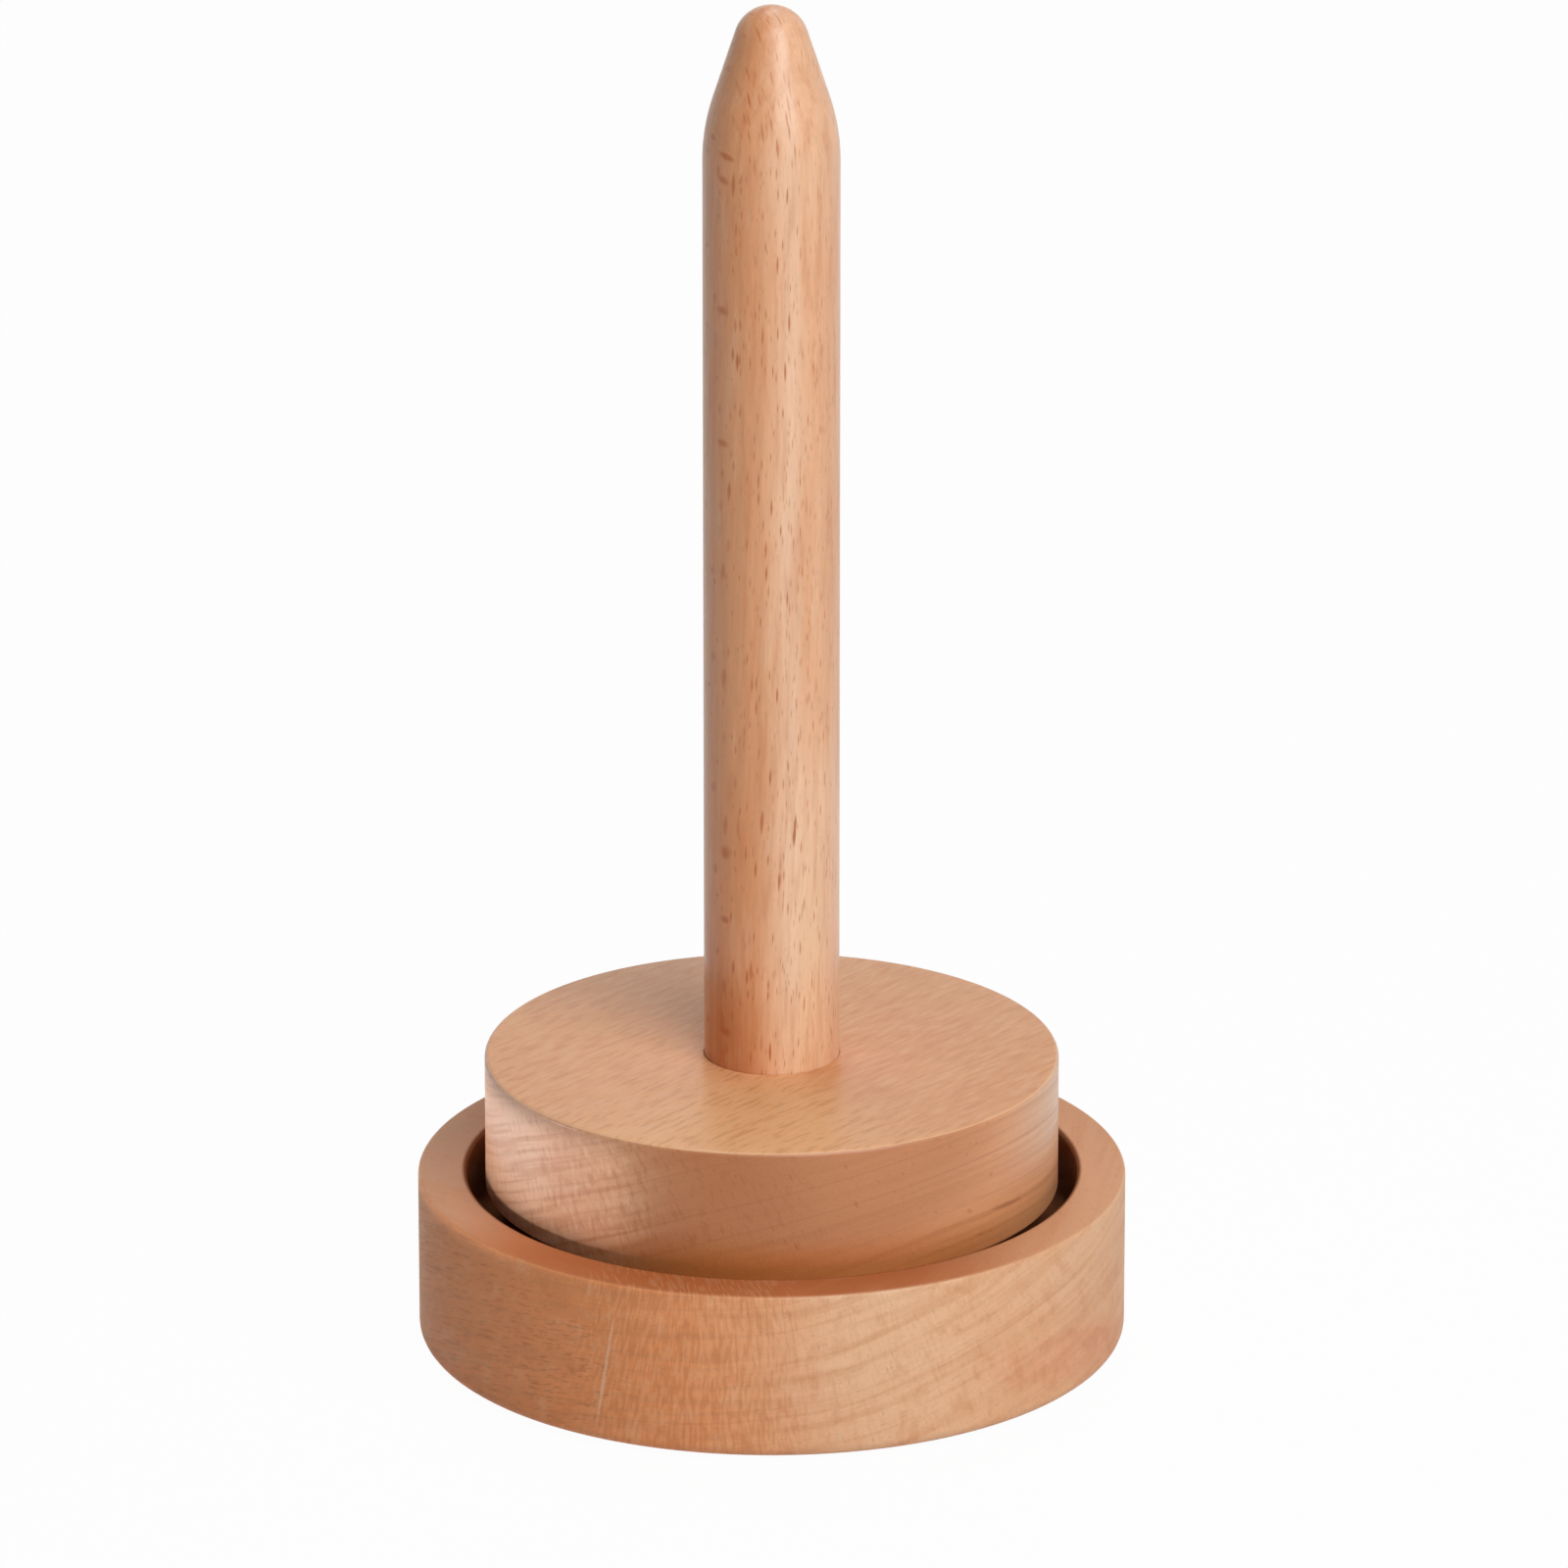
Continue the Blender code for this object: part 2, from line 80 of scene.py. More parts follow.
def linear(hexColour):
    out = []
    for i in (1, 3, 5):
        c = int(hexColour[i : i + 2], 16) / 255
        out.append(c / 12.92 if c <= 0.04045 else ((c + 0.055) / 1.055) ** 2.4)
    return (*out, 1)


# Links or fills a node's inputs; a node given as a value stands for its first live output
def fillInputs(tree, node, inputs):
    for key, value in inputs.items():
        if isinstance(value, bpy.types.Node):
            value = next(socket for socket in value.outputs if socket.enabled)
        if isinstance(value, bpy.types.NodeSocket):
            tree.links.new(value, node.inputs[key])
        else:
            node.inputs[key].default_value = value
    return node


def addNode(tree, kind, inputs=None, **settings):
    node = tree.nodes.new(kind)
    for key, value in settings.items():
        setattr(node, key, value)
    return fillInputs(tree, node, inputs or {})


def newMaterial(name):
    material = bpy.data.materials.new(name)
    material.use_nodes = True
    tree = material.node_tree
    return material, partial(addNode, tree), partial(fillInputs, tree, tree.nodes["Principled BSDF"])


# how the grain of all the beech is drawn
beechGrain = {
    "driftPerMm": (0.04, 0.04, 0.012),  # how quickly the grain strays
    "swayPerMm": 0.13,  # and the rings' width
    "swayRings": 2.4,
    "lateWood": ((0.7, 0.12), (0.92, 1)),  # share of a ring's width, and how dark it is there
    "palestRing": 0.2,
    "palestLens": 0.35,
    "lensPower": 1.3,  # 1 is a diamond and 2 an ellipse
    "lensCore": 0.45,  # share of a lens at its full strength
    "levelFrom": 0.55,
    "wobble": 0.5,  # mm that the edge of a mark follows the fibre
    # width of the fading edge of the painted shade inside the hollow
    "hollowEdge": 0.6,  # mm
    "relief": 0.06,  # mm
}


# Beech, turned and sanded. The eye gets a pinkish tan ground, rings 2 to 3 mm apart, brown dashes 1 to 4 mm long
# on the side grain, and a darker end grain hatched with fine rays. The pattern fills the wood: it is laid out
# round the tree's centre line, so each face shows the cut that it really is.
def beechMaterial(name, wood):
    material, add, fillShader = newMaterial(name)
    along = Vector(wood["along"]).normalized()
    pith = Vector(wood["pith"])
    outward = Vector((0, 0, wood["middle"])) - pith
    outward -= along * outward.dot(along)
    reach = outward.length
    outward.normalize()
    grainFrame = Matrix((outward.cross(along), outward, along))
    coords = add("ShaderNodeTexCoord").outputs
    fromPith = add(
        "ShaderNodeMapping",
        {
            "Vector": coords["Object"],
            "Scale": [mmPerMetre] * 3,
            "Rotation": grainFrame.to_euler(),
            "Location": -(grainFrame @ pith),
        },
    )
    xyz = add("ShaderNodeSeparateXYZ", {0: fromPith}).outputs
    angle = add(maths, {0: xyz["X"], 1: xyz["Y"]}, operation="ARCTAN2")
    acrossMm = add(maths, {0: angle, 1: reach}, **times)
    flat = add(vectors, {0: fromPith, 1: (1, 1, 0)}, **times)
    radiusMm = add(vectors, {0: flat}, operation="LENGTH")
    straight = add("ShaderNodeCombineXYZ", {"X": acrossMm, "Y": radiusMm, "Z": xyz["Z"]})
    drift = add(vectors, {0: straight, 1: beechGrain["driftPerMm"]}, **times)
    drift = add(noise, {"Vector": drift, "Scale": 1, "Detail": 1})
    drift = add(vectors, {0: drift.outputs["Color"], 1: (0.5, 0.5, 0.5)}, operation="SUBTRACT")
    drift = add(vectors, {0: drift, 1: (wood["wander"], wood["wander"], 0)}, **times)
    # mm across the rays, mm out from the pith and mm along the grain
    place = add(vectors, {0: straight, 1: drift}, operation="ADD")

    # every pattern gives its strength, 0 to 1, at each point of the wood
    patterns = {}
    used = {"fibre", "pores", "boldRays", "poreLines"}
    used |= {label for tone in wood["tones"] for label in (tone[1], *tone[5:])}
    for label, (perMm, detail, roughness) in wood["noises"].items():
        if label in used:
            scaled = add(vectors, {0: place, 1: perMm}, **times)
            inputs = {"Vector": scaled, "Scale": 1, "Detail": detail, "Roughness": roughness}
            patterns[label] = add(noise, inputs)

    # how far a face is cut across the grain, and how level it lies
    cuts = {"endGrain": (along, wood["endFrom"]), "level": ((0, 0, 1), beechGrain["levelFrom"])}
    for label, (way, start) in cuts.items():
        facing = add(vectors, {0: coords["Normal"], 1: way}, operation="DOT_PRODUCT")
        facing = add(maths, {0: facing}, operation="ABSOLUTE")
        patterns[label] = add(remap, {"Value": facing, "From Min": start}, **smoothly)
    patterns["wall"] = add(maths, {0: 1, 1: patterns["level"]}, operation="SUBTRACT")
    # the rounded edges, where the disc paints a highlight
    patterns["edges"] = add(maths, {0: patterns["level"], 1: patterns["wall"]}, **times)

    # growth rings: each darkens slowly, then ends in a sharp line
    sway = add(maths, {0: radiusMm, 1: beechGrain["swayPerMm"]}, **times)
    sway = add(noise, {"W": sway, "Scale": 1, "Detail": 1}, noise_dimensions="1D")
    count = add(vectors, {0: place, 1: (0, 1 / wood["ringGap"], 0)}, operation="DOT_PRODUCT")
    count = add(maths, {0: sway, 1: beechGrain["swayRings"], 2: count}, **timesPlus)
    lateWood = add("ShaderNodeFloatCurve", {"Value": add(maths, {0: count}, operation="FRACT")})
    curve = lateWood.mapping.curves[0]
    curve.points[1].location = (1, 0)
    for point in beechGrain["lateWood"]:
        curve.points.new(*point)
    lateWood.mapping.update()
    ringNumber = add(maths, {0: count}, operation="FLOOR")
    ringChance = add("ShaderNodeTexWhiteNoise", {"W": ringNumber}, noise_dimensions="1D")
    ringShare = add(remap, {"Value": ringChance, "To Min": beechGrain["palestRing"]})
    patterns["rings"] = add(maths, {0: lateWood, 1: ringShare}, **times)

    # rays and pore lines: thin lenses scattered through the wood, each a dash where a face cuts it
    for label, (cell, (small, large), share, seed) in wood["lenses"].items():
        if label not in used:
            continue
        empty = 1 - share
        moved = add(vectors, {0: place, 1: seed}, operation="ADD")
        moved = add(vectors, {0: moved, 1: cell}, operation="DIVIDE")
        shape = {"Vector": moved, "Scale": 1, "Exponent": beechGrain["lensPower"]}
        cells = add("ShaderNodeTexVoronoi", shape, distance="MINKOWSKI").outputs
        chance = add("ShaderNodeSeparateColor", {"Color": cells["Color"]}).outputs
        size = add(remap, {"Value": chance[0], "From Min": empty, "To Min": small, "To Max": large})
        shown = add(maths, {0: chance[0], 1: empty}, operation="GREATER_THAN")
        depth = add(maths, {0: cells["Distance"], 1: size}, operation="DIVIDE")
        edge = {"Value": depth, "From Min": 1, "From Max": beechGrain["lensCore"]}
        body = add(remap, edge, **smoothly)
        tone = add(remap, {"Value": chance[1], "To Min": beechGrain["palestLens"]})
        tone = add(maths, {0: tone, 1: shown}, **times)
        patterns[label] = add(maths, {0: body, 1: tone}, **times)

    # marks that stand out on this piece, some of them painted light and shade, each by its mm round the turned
    # face from the front and its mm up
    turned = add("ShaderNodeSeparateXYZ", {0: coords["Object"]}).outputs
    backY = add(maths, {0: turned["Y"], 1: -1}, **times)
    aroundMm = add(maths, {0: turned["X"], 1: backY}, operation="ARCTAN2")
    aroundMm = add(maths, {0: aroundMm, 1: wood["faceRadius"]}, **times)
    upMm = add(maths, {0: turned["Z"], 1: mmPerMetre}, **times)
    wobble = add(maths, {0: patterns["fibre"], 1: 0.5}, operation="SUBTRACT")
    wobble = add(maths, {0: wobble, 1: beechGrain["wobble"]}, **times)
    aroundMm = add(maths, {0: aroundMm, 1: wobble}, operation="ADD")
    face = add("ShaderNodeCombineXYZ", {"X": aroundMm, "Y": upMm})
    for label, marks in wood["marks"].items():
        cover = 0
        for around, up, lean, wide, high, core in marks:
            mark = add(
                "ShaderNodeMapping",
                {
                    "Vector": face,
                    "Location": (around, up, 0),
                    "Rotation": (0, 0, -math.radians(lean)),
                    "Scale": (wide, high, 1),
                },
                vector_type="TEXTURE",
            )
            away = add(vectors, {0: mark}, operation="LENGTH")
            fade = {"Value": away, "From Min": 1, "From Max": core}
            inside = add(remap, fade, **smoothly)
            cover = add(maths, {0: inside, 1: cover}, operation="MAXIMUM")
        patterns[label] = cover
    # painted shade inside the tray's hollow, within the given radius
    across = add(vectors, {0: coords["Object"], 1: (mmPerMetre, mmPerMetre, 0)}, **times)
    across = add(vectors, {0: across}, operation="LENGTH")
    lip = {"Value": across, "From Min": wood["hollow"], "From Max": wood["hollow"] - beechGrain["hollowEdge"]}
    patterns["hollow"] = add(remap, lip)

    # colour, from the ground up: each tone lies where its pattern passes from one value to another, in its zone
    colour = linear(wood["ground"])
    for tone, label, start, full, depth, *zone in wood["tones"]:
        band = {"Value": patterns[label], "From Min": start, "From Max": full, "To Max": depth}
        amount = add(remap, band, **smoothly)
        if zone:
            amount = add(maths, {0: amount, 1: patterns[zone[0]]}, **times)
        colour = add(mix, {0: amount, 6: colour, 7: linear(tone)}, data_type="RGBA")
    shade = {"To Min": 1 - wood["fibreDepth"], "To Max": 1 + wood["fibreDepth"]}
    shade = add(remap, {"Value": patterns["fibre"], "From Min": 0.25, "From Max": 0.75, **shade})
    pit = {"Value": patterns["pores"], "From Min": 0.3, "From Max": 0.42, "To Min": 1 - wood["poreDepth"]}
    grey = add(maths, {0: shade, 1: add(remap, pit)}, **times)
    grey = add("ShaderNodeCombineColor", {0: grey, 1: grey, 2: grey})
    colour = add(mix, {0: 1, 6: colour, 7: grey}, data_type="RGBA", blend_type="MULTIPLY")

    rough = {"To Min": wood["roughness"] - 0.05, "To Max": wood["roughness"] + 0.06}
    rough = add(remap, {"Value": patterns["fibre"], "From Min": 0.3, "From Max": 0.7, **rough})
    rough = add(maths, {0: patterns["boldRays"], 1: -0.08, 2: rough}, **timesPlus)
    height = add(maths, {0: patterns["boldRays"], 1: -0.4, 2: patterns["fibre"]}, **timesPlus)
    height = add(maths, {0: patterns["poreLines"], 1: -0.4, 2: height}, **timesPlus)
    relief = {"Height": height, "Distance": beechGrain["relief"] * mm, "Strength": wood["bump"]}
    # no gloss inside the tray, where its shade is painted
    gloss = add(maths, {0: patterns["hollow"], 1: -wood["gloss"], 2: wood["gloss"]}, **timesPlus)
    fillShader(
        {
            "Base Color": colour,
            "Roughness": rough,
            "Normal": add("ShaderNodeBump", relief),
            "Specular IOR Level": gloss,
            "Coat Weight": wood["coat"],
            "Coat Roughness": wood["coatRoughness"],
        }
    )
    return material


# What metal and plastic share: a slightly cloudy tone and roughness
def cloudy(add, place, finish, smoother, rougher):
    cloud = add(noise, {"Vector": place, "Scale": finish["cloudScale"], "Detail": 3})
    tone = add(remap, {"Value": cloud, "From Min": 0.35, "From Max": 0.65})
    colour = add(mix, {0: tone, 6: linear(finish["light"]), 7: linear(finish["dark"])}, data_type="RGBA")
    rough = {"To Min": finish["roughness"] - smoother, "To Max": finish["roughness"] + rougher}
    return colour, add(remap, {"Value": cloud, "From Min": 0.3, "From Max": 0.7, **rough})


# A metal ground or turned round Z: fine rings of scratches, and a slightly cloudy tone
def turnedMetal(name, metal):
    material, add, fillShader = newMaterial(name)
    place = add("ShaderNodeTexCoord").outputs["Object"]
    colour, rough = cloudy(add, place, metal, 0.04, 0.05)
    height = add(vectors, {0: place, 1: (0, 0, 1.7)}, operation="DOT_PRODUCT")
    flat = add(vectors, {0: place, 1: (1, 1, 0)}, **times)
    radius = add(vectors, {0: flat}, operation="LENGTH")
    line = add(maths, {0: radius, 1: height}, operation="ADD")
    scratches = {"W": line, "Scale": mmPerMetre / metal["lineGap"], "Detail": 2}
    lines = add(noise, scratches, noise_dimensions="1D")
    rough = add(maths, {0: lines, 1: 0.06, 2: rough}, **timesPlus)
    bump = add("ShaderNodeBump", {"Height": lines, "Distance": 0.01 * mm, "Strength": metal["bump"]})
    fillShader({"Base Color": colour, "Roughness": rough, "Normal": bump, "Metallic": 1})
    return material


# A moulded or foamed plastic: tiny cells or orange peel, nearly even in colour
def mouldedPlastic(name, plastic):
    material, add, fillShader = newMaterial(name)
    place = add("ShaderNodeTexCoord").outputs["Object"]
    colour, rough = cloudy(add, place, plastic, 0.05, 0.05)
    skin = {"Vector": place, "Scale": mmPerMetre / plastic["cell"], "Smoothness": 0.6}
    cells = add("ShaderNodeTexVoronoi", skin, feature="SMOOTH_F1")
    shade = {"Value": cells, "From Min": 0.1, "From Max": 0.6, "To Min": plastic["cellShade"], "To Max": 0}
    colour = add(mix, {0: add(remap, shade), 6: colour, 7: linear(plastic["pit"])}, data_type="RGBA")
    bump = add("ShaderNodeBump", {"Height": cells, "Distance": 0.12 * mm, "Strength": plastic["bump"]})
    fillShader({"Base Color": colour, "Roughness": rough, "Normal": bump})
    return material


# The outline of a turned piece, in mm: corners of (radius, height, rounding)
def roundedOutline(corners, closed=False, arcSteps=6):
    points = []
    total = len(corners)
    for i, (r, z, rounding) in enumerate(corners):
        here = Vector((r, z))
        atEnd = not closed and i in (0, total - 1)
        if rounding <= 0 or atEnd:
            points.append(here)
            continue
        before = Vector(corners[i - 1][:2]) - here
        after = Vector(corners[(i + 1) % total][:2]) - here
        a, b = before.normalized(), after.normalized()
        half = a.angle(b) / 2
        reach = rounding / math.tan(half)
        centre = here + (a + b).normalized() * (rounding / math.sin(half))
        start, end = here + a * reach - centre, here + b * reach - centre
        for step in range(arcSteps + 1):
            t = step / arcSteps
            sweep = 2 * (math.pi / 2 - half)
            mixA = math.sin((1 - t) * sweep) / math.sin(sweep)
            mixB = math.sin(t * sweep) / math.sin(sweep)
            points.append(centre + start * mixA + end * mixB)
    if closed:
        points.append(points[0].copy())
    return [(p.x, p.y, 0, 0, 0) for p in points]


# Points up a wall that carries a thread or a knurl: cut depth, starts round, and turns per mm up
def threadedWall(radius, low, high, depth, starts, perMm, rows, runOut=0.6):
    wall = []
    for i in range(rows + 1):
        z = low + (high - low) * i / rows
        fade = min(1, abs(z - low) / runOut, abs(high - z) / runOut)
        wall.append((radius, z, depth * fade, starts, perMm))
    return wall


def newTree(name, inputs, output):
    tree = bpy.data.node_groups.new(name, "GeometryNodeTree")
    for label, kind in inputs.items():
        tree.interface.new_socket(label, in_out="INPUT", socket_type="NodeSocket" + kind)
    tree.interface.new_socket(output, in_out="OUTPUT", socket_type="NodeSocketGeometry")
    return tree, partial(addNode, tree)


# Geometry Nodes lathe: takes the outline round Z, and cuts each point's thread or knurl as it goes
def latheTree():
    inputs = {"Outline": "Geometry", "Steps round": "Int", "Finish": "Material"}
    tree, add = newTree("lathe", inputs, "Turned piece")
    given = add("NodeGroupInput").outputs
    rows = add("GeometryNodeAttributeDomainSize", {"Geometry": given["Outline"]}, component="MESH")
    columns = add(maths, {0: given["Steps round"], 1: 1}, operation="ADD")
    sheet = add("GeometryNodeMeshGrid", {"Size X": 1, "Size Y": 1, "Vertices X": columns, "Vertices Y": rows})
    middle = add(maths, {0: add("GeometryNodeInputIndex"), 1: 0.5}, operation="ADD")
    column = add(maths, {0: add(maths, {0: middle, 1: rows}, operation="DIVIDE")}, operation="FLOOR")
    row = add(maths, {0: add(maths, {0: middle, 1: rows}, operation="FLOORED_MODULO")}, operation="FLOOR")
    outline = {"Geometry": given["Outline"], "Index": row}
    position = add("GeometryNodeInputPosition")
    point = add("GeometryNodeSampleIndex", {"Value": position, **outline}, data_type="FLOAT_VECTOR")
    cutData = add("GeometryNodeInputNamedAttribute", {"Name": "cut"}, data_type="FLOAT_VECTOR")
    cut = add("GeometryNodeSampleIndex", {"Value": cutData, **outline}, data_type="FLOAT_VECTOR")
    pointXyz = add("ShaderNodeSeparateXYZ", {0: point}).outputs
    depth, starts, turnsUp = add("ShaderNodeSeparateXYZ", {0: cut}).outputs
    share = add(maths, {0: column, 1: given["Steps round"]}, operation="DIVIDE")
    climb = add(maths, {0: turnsUp, 1: pointXyz["Z"]}, **times)
    phase = add(maths, {0: starts, 1: share}, **times)
    phase = add(maths, {0: phase, 1: climb}, operation="SUBTRACT")
    wave = add(maths, {0: phase, 1: 0.5}, operation="PINGPONG")  # 0 at a crest, 0.5 at a root
    bite = add(maths, {0: wave, 1: -2}, **times)
    bite = add(maths, {0: bite, 1: depth, 2: pointXyz["X"]}, **timesPlus)
    angle = add(maths, {0: share, 1: 2 * math.pi}, **times)
    x = add(maths, {0: bite, 1: add(maths, {0: angle}, operation="COSINE")}, **times)
    y = add(maths, {0: bite, 1: add(maths, {0: angle}, operation="SINE")}, **times)
    moved = add("ShaderNodeCombineXYZ", {"X": x, "Y": y, "Z": pointXyz["Z"]})
    turned = add("GeometryNodeSetPosition", {"Geometry": sheet, "Position": moved})
    closed = add("GeometryNodeMergeByDistance", {"Geometry": turned, "Distance": mergeGap})
    real = add("GeometryNodeRealizeInstances", {"Geometry": closed})
    finished = add("GeometryNodeSetMaterial", {"Geometry": real, "Material": given["Finish"]})
    add("NodeGroupOutput", {"Turned piece": finished})
    return tree


# Geometry Nodes ring of balls, evenly spaced on the pitch circle
def ballTree():
    inputs = {"Base": "Geometry", "Balls": "Int", "Pitch radius": "Float", "Ball radius": "Float"}
    tree, add = newTree("ballRing", {**inputs, "Height": "Float", "Finish": "Material"}, "Balls made")
    given = add("NodeGroupInput").outputs
    circle = add("GeometryNodeMeshCircle", {"Vertices": given["Balls"], "Radius": given["Pitch radius"]})
    ball = add("GeometryNodeMeshUVSphere", {"Segments": 32, "Rings": 16, "Radius": given["Ball radius"]})
    placed = add("GeometryNodeInstanceOnPoints", {"Points": circle, "Instance": ball})
    lift = add("ShaderNodeCombineXYZ", {"Z": given["Height"]})
    lifting = {"Instances": placed, "Translation": lift, "Local Space": False}
    lifted = add("GeometryNodeTranslateInstances", lifting)
    real = add("GeometryNodeRealizeInstances", {"Geometry": lifted})
    finished = add("GeometryNodeSetMaterial", {"Geometry": real, "Material": given["Finish"]})
    add("NodeGroupOutput", {"Balls made": finished})
    return tree


lathe = latheTree()
ballRing = ballTree()


def linkObject(name, data):
    obj = bpy.data.objects.new(name, data)
    bpy.context.scene.collection.objects.link(obj)
    return obj


def useTree(obj, tree, inputs):
    modifier = obj.modifiers.new(tree.name, "NODES")
    modifier.node_group = tree
    identifiers = {item.name: item.identifier for item in tree.interface.items_tree}
    for label, value in inputs.items():
        modifier[identifiers[label]] = value


# Turns what the modifiers give into a plain mesh with clean, outward faces, and drops the maker object
def asPlainPiece(maker, name):
    bpy.context.view_layer.update()
    evaluated = maker.evaluated_get(bpy.context.evaluated_depsgraph_get())
    mesh = bpy.data.meshes.new_from_object(evaluated)
    bpy.data.objects.remove(maker)
    bm = bmesh.new()
    bm.from_mesh(mesh)
    bmesh.ops.remove_doubles(bm, verts=bm.verts[:], dist=mergeGap)
    bmesh.ops.recalc_face_normals(bm, faces=bm.faces[:])
    bm.to_mesh(mesh)
    bm.free()
    mesh.shade_smooth()
    mesh.set_sharp_from_angle(angle=sharpCorner)
    mesh.name = name
    return linkObject(name, mesh)


def turnOnLathe(name, outline, steps, finish):
    mesh = bpy.data.meshes.new(name + "Outline")
    edges = [(i, i + 1) for i in range(len(outline) - 1)]
    mesh.from_pydata([(p[0] * mm, 0, p[1] * mm) for p in outline], edges, [])
    cut = mesh.attributes.new("cut", "FLOAT_VECTOR", "POINT")
    for i, p in enumerate(outline):
        cut.data[i].vector = (p[2] * mm, p[3], p[4] / mm)
    maker = linkObject(name + "Maker", mesh)
    useTree(maker, lathe, {"Steps round": steps, "Finish": finish})
    return asPlainPiece(maker, name)


def carve(piece, cutter):
    name = piece.name
    boolean = piece.modifiers.new("carve", "BOOLEAN")
    boolean.operation = "DIFFERENCE"
    boolean.solver = "EXACT"
    boolean.object = cutter
    piece.name = name + "Blank"
    plain = asPlainPiece(piece, name)
    bpy.data.objects.remove(cutter)
    return plain


def fit(piece, body, slot, *nodes):
    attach(piece, body)
    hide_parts(*nodes)


# the camera of the photograph: 1.75 m away, 0.70 m up, looking 19.4 degrees down
view = {"distance": 1.746, "height": 0.7002, "pitch": 19.37, "aside": 0.00182, "lens": 289.2, "nearest": 0.05}
camera = linkObject("camera", bpy.data.cameras.new("camera"))
camera.data.lens = view["lens"]
camera.data.clip_start = view["nearest"]
camera.location = (view["aside"], -view["distance"], view["height"])
camera.rotation_euler = (math.radians(90 - view["pitch"]), 0, 0)
bpy.context.scene.camera = camera
print("camera ready")


# what all the beech shares: cycles per mm across the rays, out from the pith and along the grain,
# then detail and roughness
beechNoises = {
    "fibre": ((2.8, 2.8, 0.2), 3, 0.6),  # bundles of fibre about 0.3 mm wide
    "layers": ((0.05, 0.6, 0.02), 2, 0.5),  # soft layers inside each ring
    "rayLines": ((2.7, 0.4, 0.3), 0.5, 0.4),  # rays seen end on, about 0.5 mm apart
    "mottle": ((0.45, 0.25, 0.12), 2, 0.6),  # soft blotches of 2 to 5 mm
    "hairs": ((0.7, 2.4, 0.15), 2, 0.55),  # rows of pores, cut along the grain
    "streaks": ((1.2, 1.2, 0.2), 2, 0.5),
    "broad": ((0.05, 0.11, 0.016), 1.5, 0.5),
    "blush": ((0.03, 0.16, 0.01), 1, 0.5),
    "pores": ((2.2, 2.2, 0.9), 2, 0.6),  # drawn 3 times their real 0.08 mm, or they don't show
}

# Turned tray: beech, oiled and left matt, with shade painted in its hollow, at the front of its rim and down its
# left side, and a sheen painted on the left of its rim
trayWood = {
    "along": (0.166, -0.933, 0.318),
    "pith": (-21.8, 21.3, 85.9),
    "middle": 12,
    "faceRadius": 52.5,
    # radius in mm inside which the tray's shade is painted
    "hollow": 46.2,
    "wander": 3,
    "ringGap": 2.7,
    "endFrom": 0.6,
    "noises": beechNoises,
    # cell in mm the same three ways, lens sizes in cells, share of the cells that hold one, and seed
    "lenses": {
        "boldRays": ((0.6, 2, 2.5), (0.2, 0.4), 0.3, (3.1, 7.7, 1.9)),
        "longRays": ((0.9, 20, 3), (0.1, 0.2), 0.5, (11.3, 2.9, 8.3)),
        "poreLines": ((1.2, 0.5, 7), (0.3, 0.5), 0.75, (5.2, 1.4, 6.6)),
    },
    # mm round from the front, mm up, lean in degrees, half width, half height, and the share of full strength
    "marks": {
        "scar": [(-25.1, 12.6, 9.5, 0.32, 11, 0.5)],
        # the shaded left side painted warmer orange, standing in for light bounced off the wood
        "warmSide": [(-38, 13, 0, 62, 80, 0.25)],
        "pinkBand": [(54, 7.5, 9, 30, 6.5, 0.2)],
        "hairSide": [(-56, 11.5, 0, 38, 15.5, 0.75)],
        "raySide": [(24, 13, 0, 30, 60, 0.5)],
        "hatchSide": [(-13, 11, 0, 20, 60, 0.6)],
        "paleFront": [(18, 12, 0, 25, 60, 0.1)],
        # painted shade on the front of the rim's top, where the disc stands between it and the light
        "rimFront": [(-8, 26.2, 0, 66, 3, 0.35)],
        # painted sheen on the left of the rim's top
        "rimLeft": [(-84, 26.2, 0, 44, 3, 0.3)],
    },
    "ground": "#EAB890",
    # tone, pattern, start, full, depth, and the zone if it has one
    "tones": [
        ("#E0A678", "broad", 0.35, 0.65, 0.6),
        ("#DE9C70", "blush", 0.45, 0.7, 0.3),
        ("#DE9068", "pinkBand", 0, 1, 0.45),
        # painted warm shade down the left side
        ("#E88A48", "warmSide", 0, 1, 0.75),
        ("#F4CCA6", "paleFront", 0, 1, 0.4, "wall"),
        ("#C98C62", "level", 0, 1, 0.6),
        # painted shade on the rim's top at the front
        ("#B45E26", "rimFront", 0, 1, 0.84, "level"),
        # painted sheen on the left of the rim's top
        ("#B8957C", "rimLeft", 0, 1, 0.5, "level"),
        ("#CB8558", "layers", 0.45, 0.68, 0.32),
        ("#C07A4C", "rings", 0, 1, 0.2, "wall"),
        ("#C87E4E", "mottle", 0.5, 0.72, 0.3, "wall"),
        ("#F0C8A2", "mottle", 0.47, 0.3, 0.16, "wall"),
        ("#EEC29A", "rayLines", 0.5, 0.62, 0.16, "hatchSide"),
        ("#B06A3A", "rayLines", 0.5, 0.36, 0.14, "hatchSide"),
        ("#B87244", "rayLines", 0.48, 0.32, 0.1, "endGrain"),
        ("#A4602F", "longRays", 0, 1, 0.28, "raySide"),
        ("#9A4818", "hairs", 0.52, 0.7, 0.34, "hairSide"),
        ("#86390E", "poreLines", 0, 1, 0.16, "hairSide"),
        ("#A65A28", "poreLines", 0, 1, 0.14),
        ("#9A4F22", "boldRays", 0, 1, 0.24, "endGrain"),
        ("#EBC8A8", "scar", 0, 1, 0.5),
        # painted shade in the tray's hollow, nearly black brown
        ("#62290C", "hollow", 0, 1, 0.8),
    ],
    "fibreDepth": 0.05,
    "poreDepth": 0.07,
    "roughness": 0.6,
    "gloss": 0.45,
    "bump": 0.35,
    "coat": 0,
    "coatRoughness": 0.3,
}
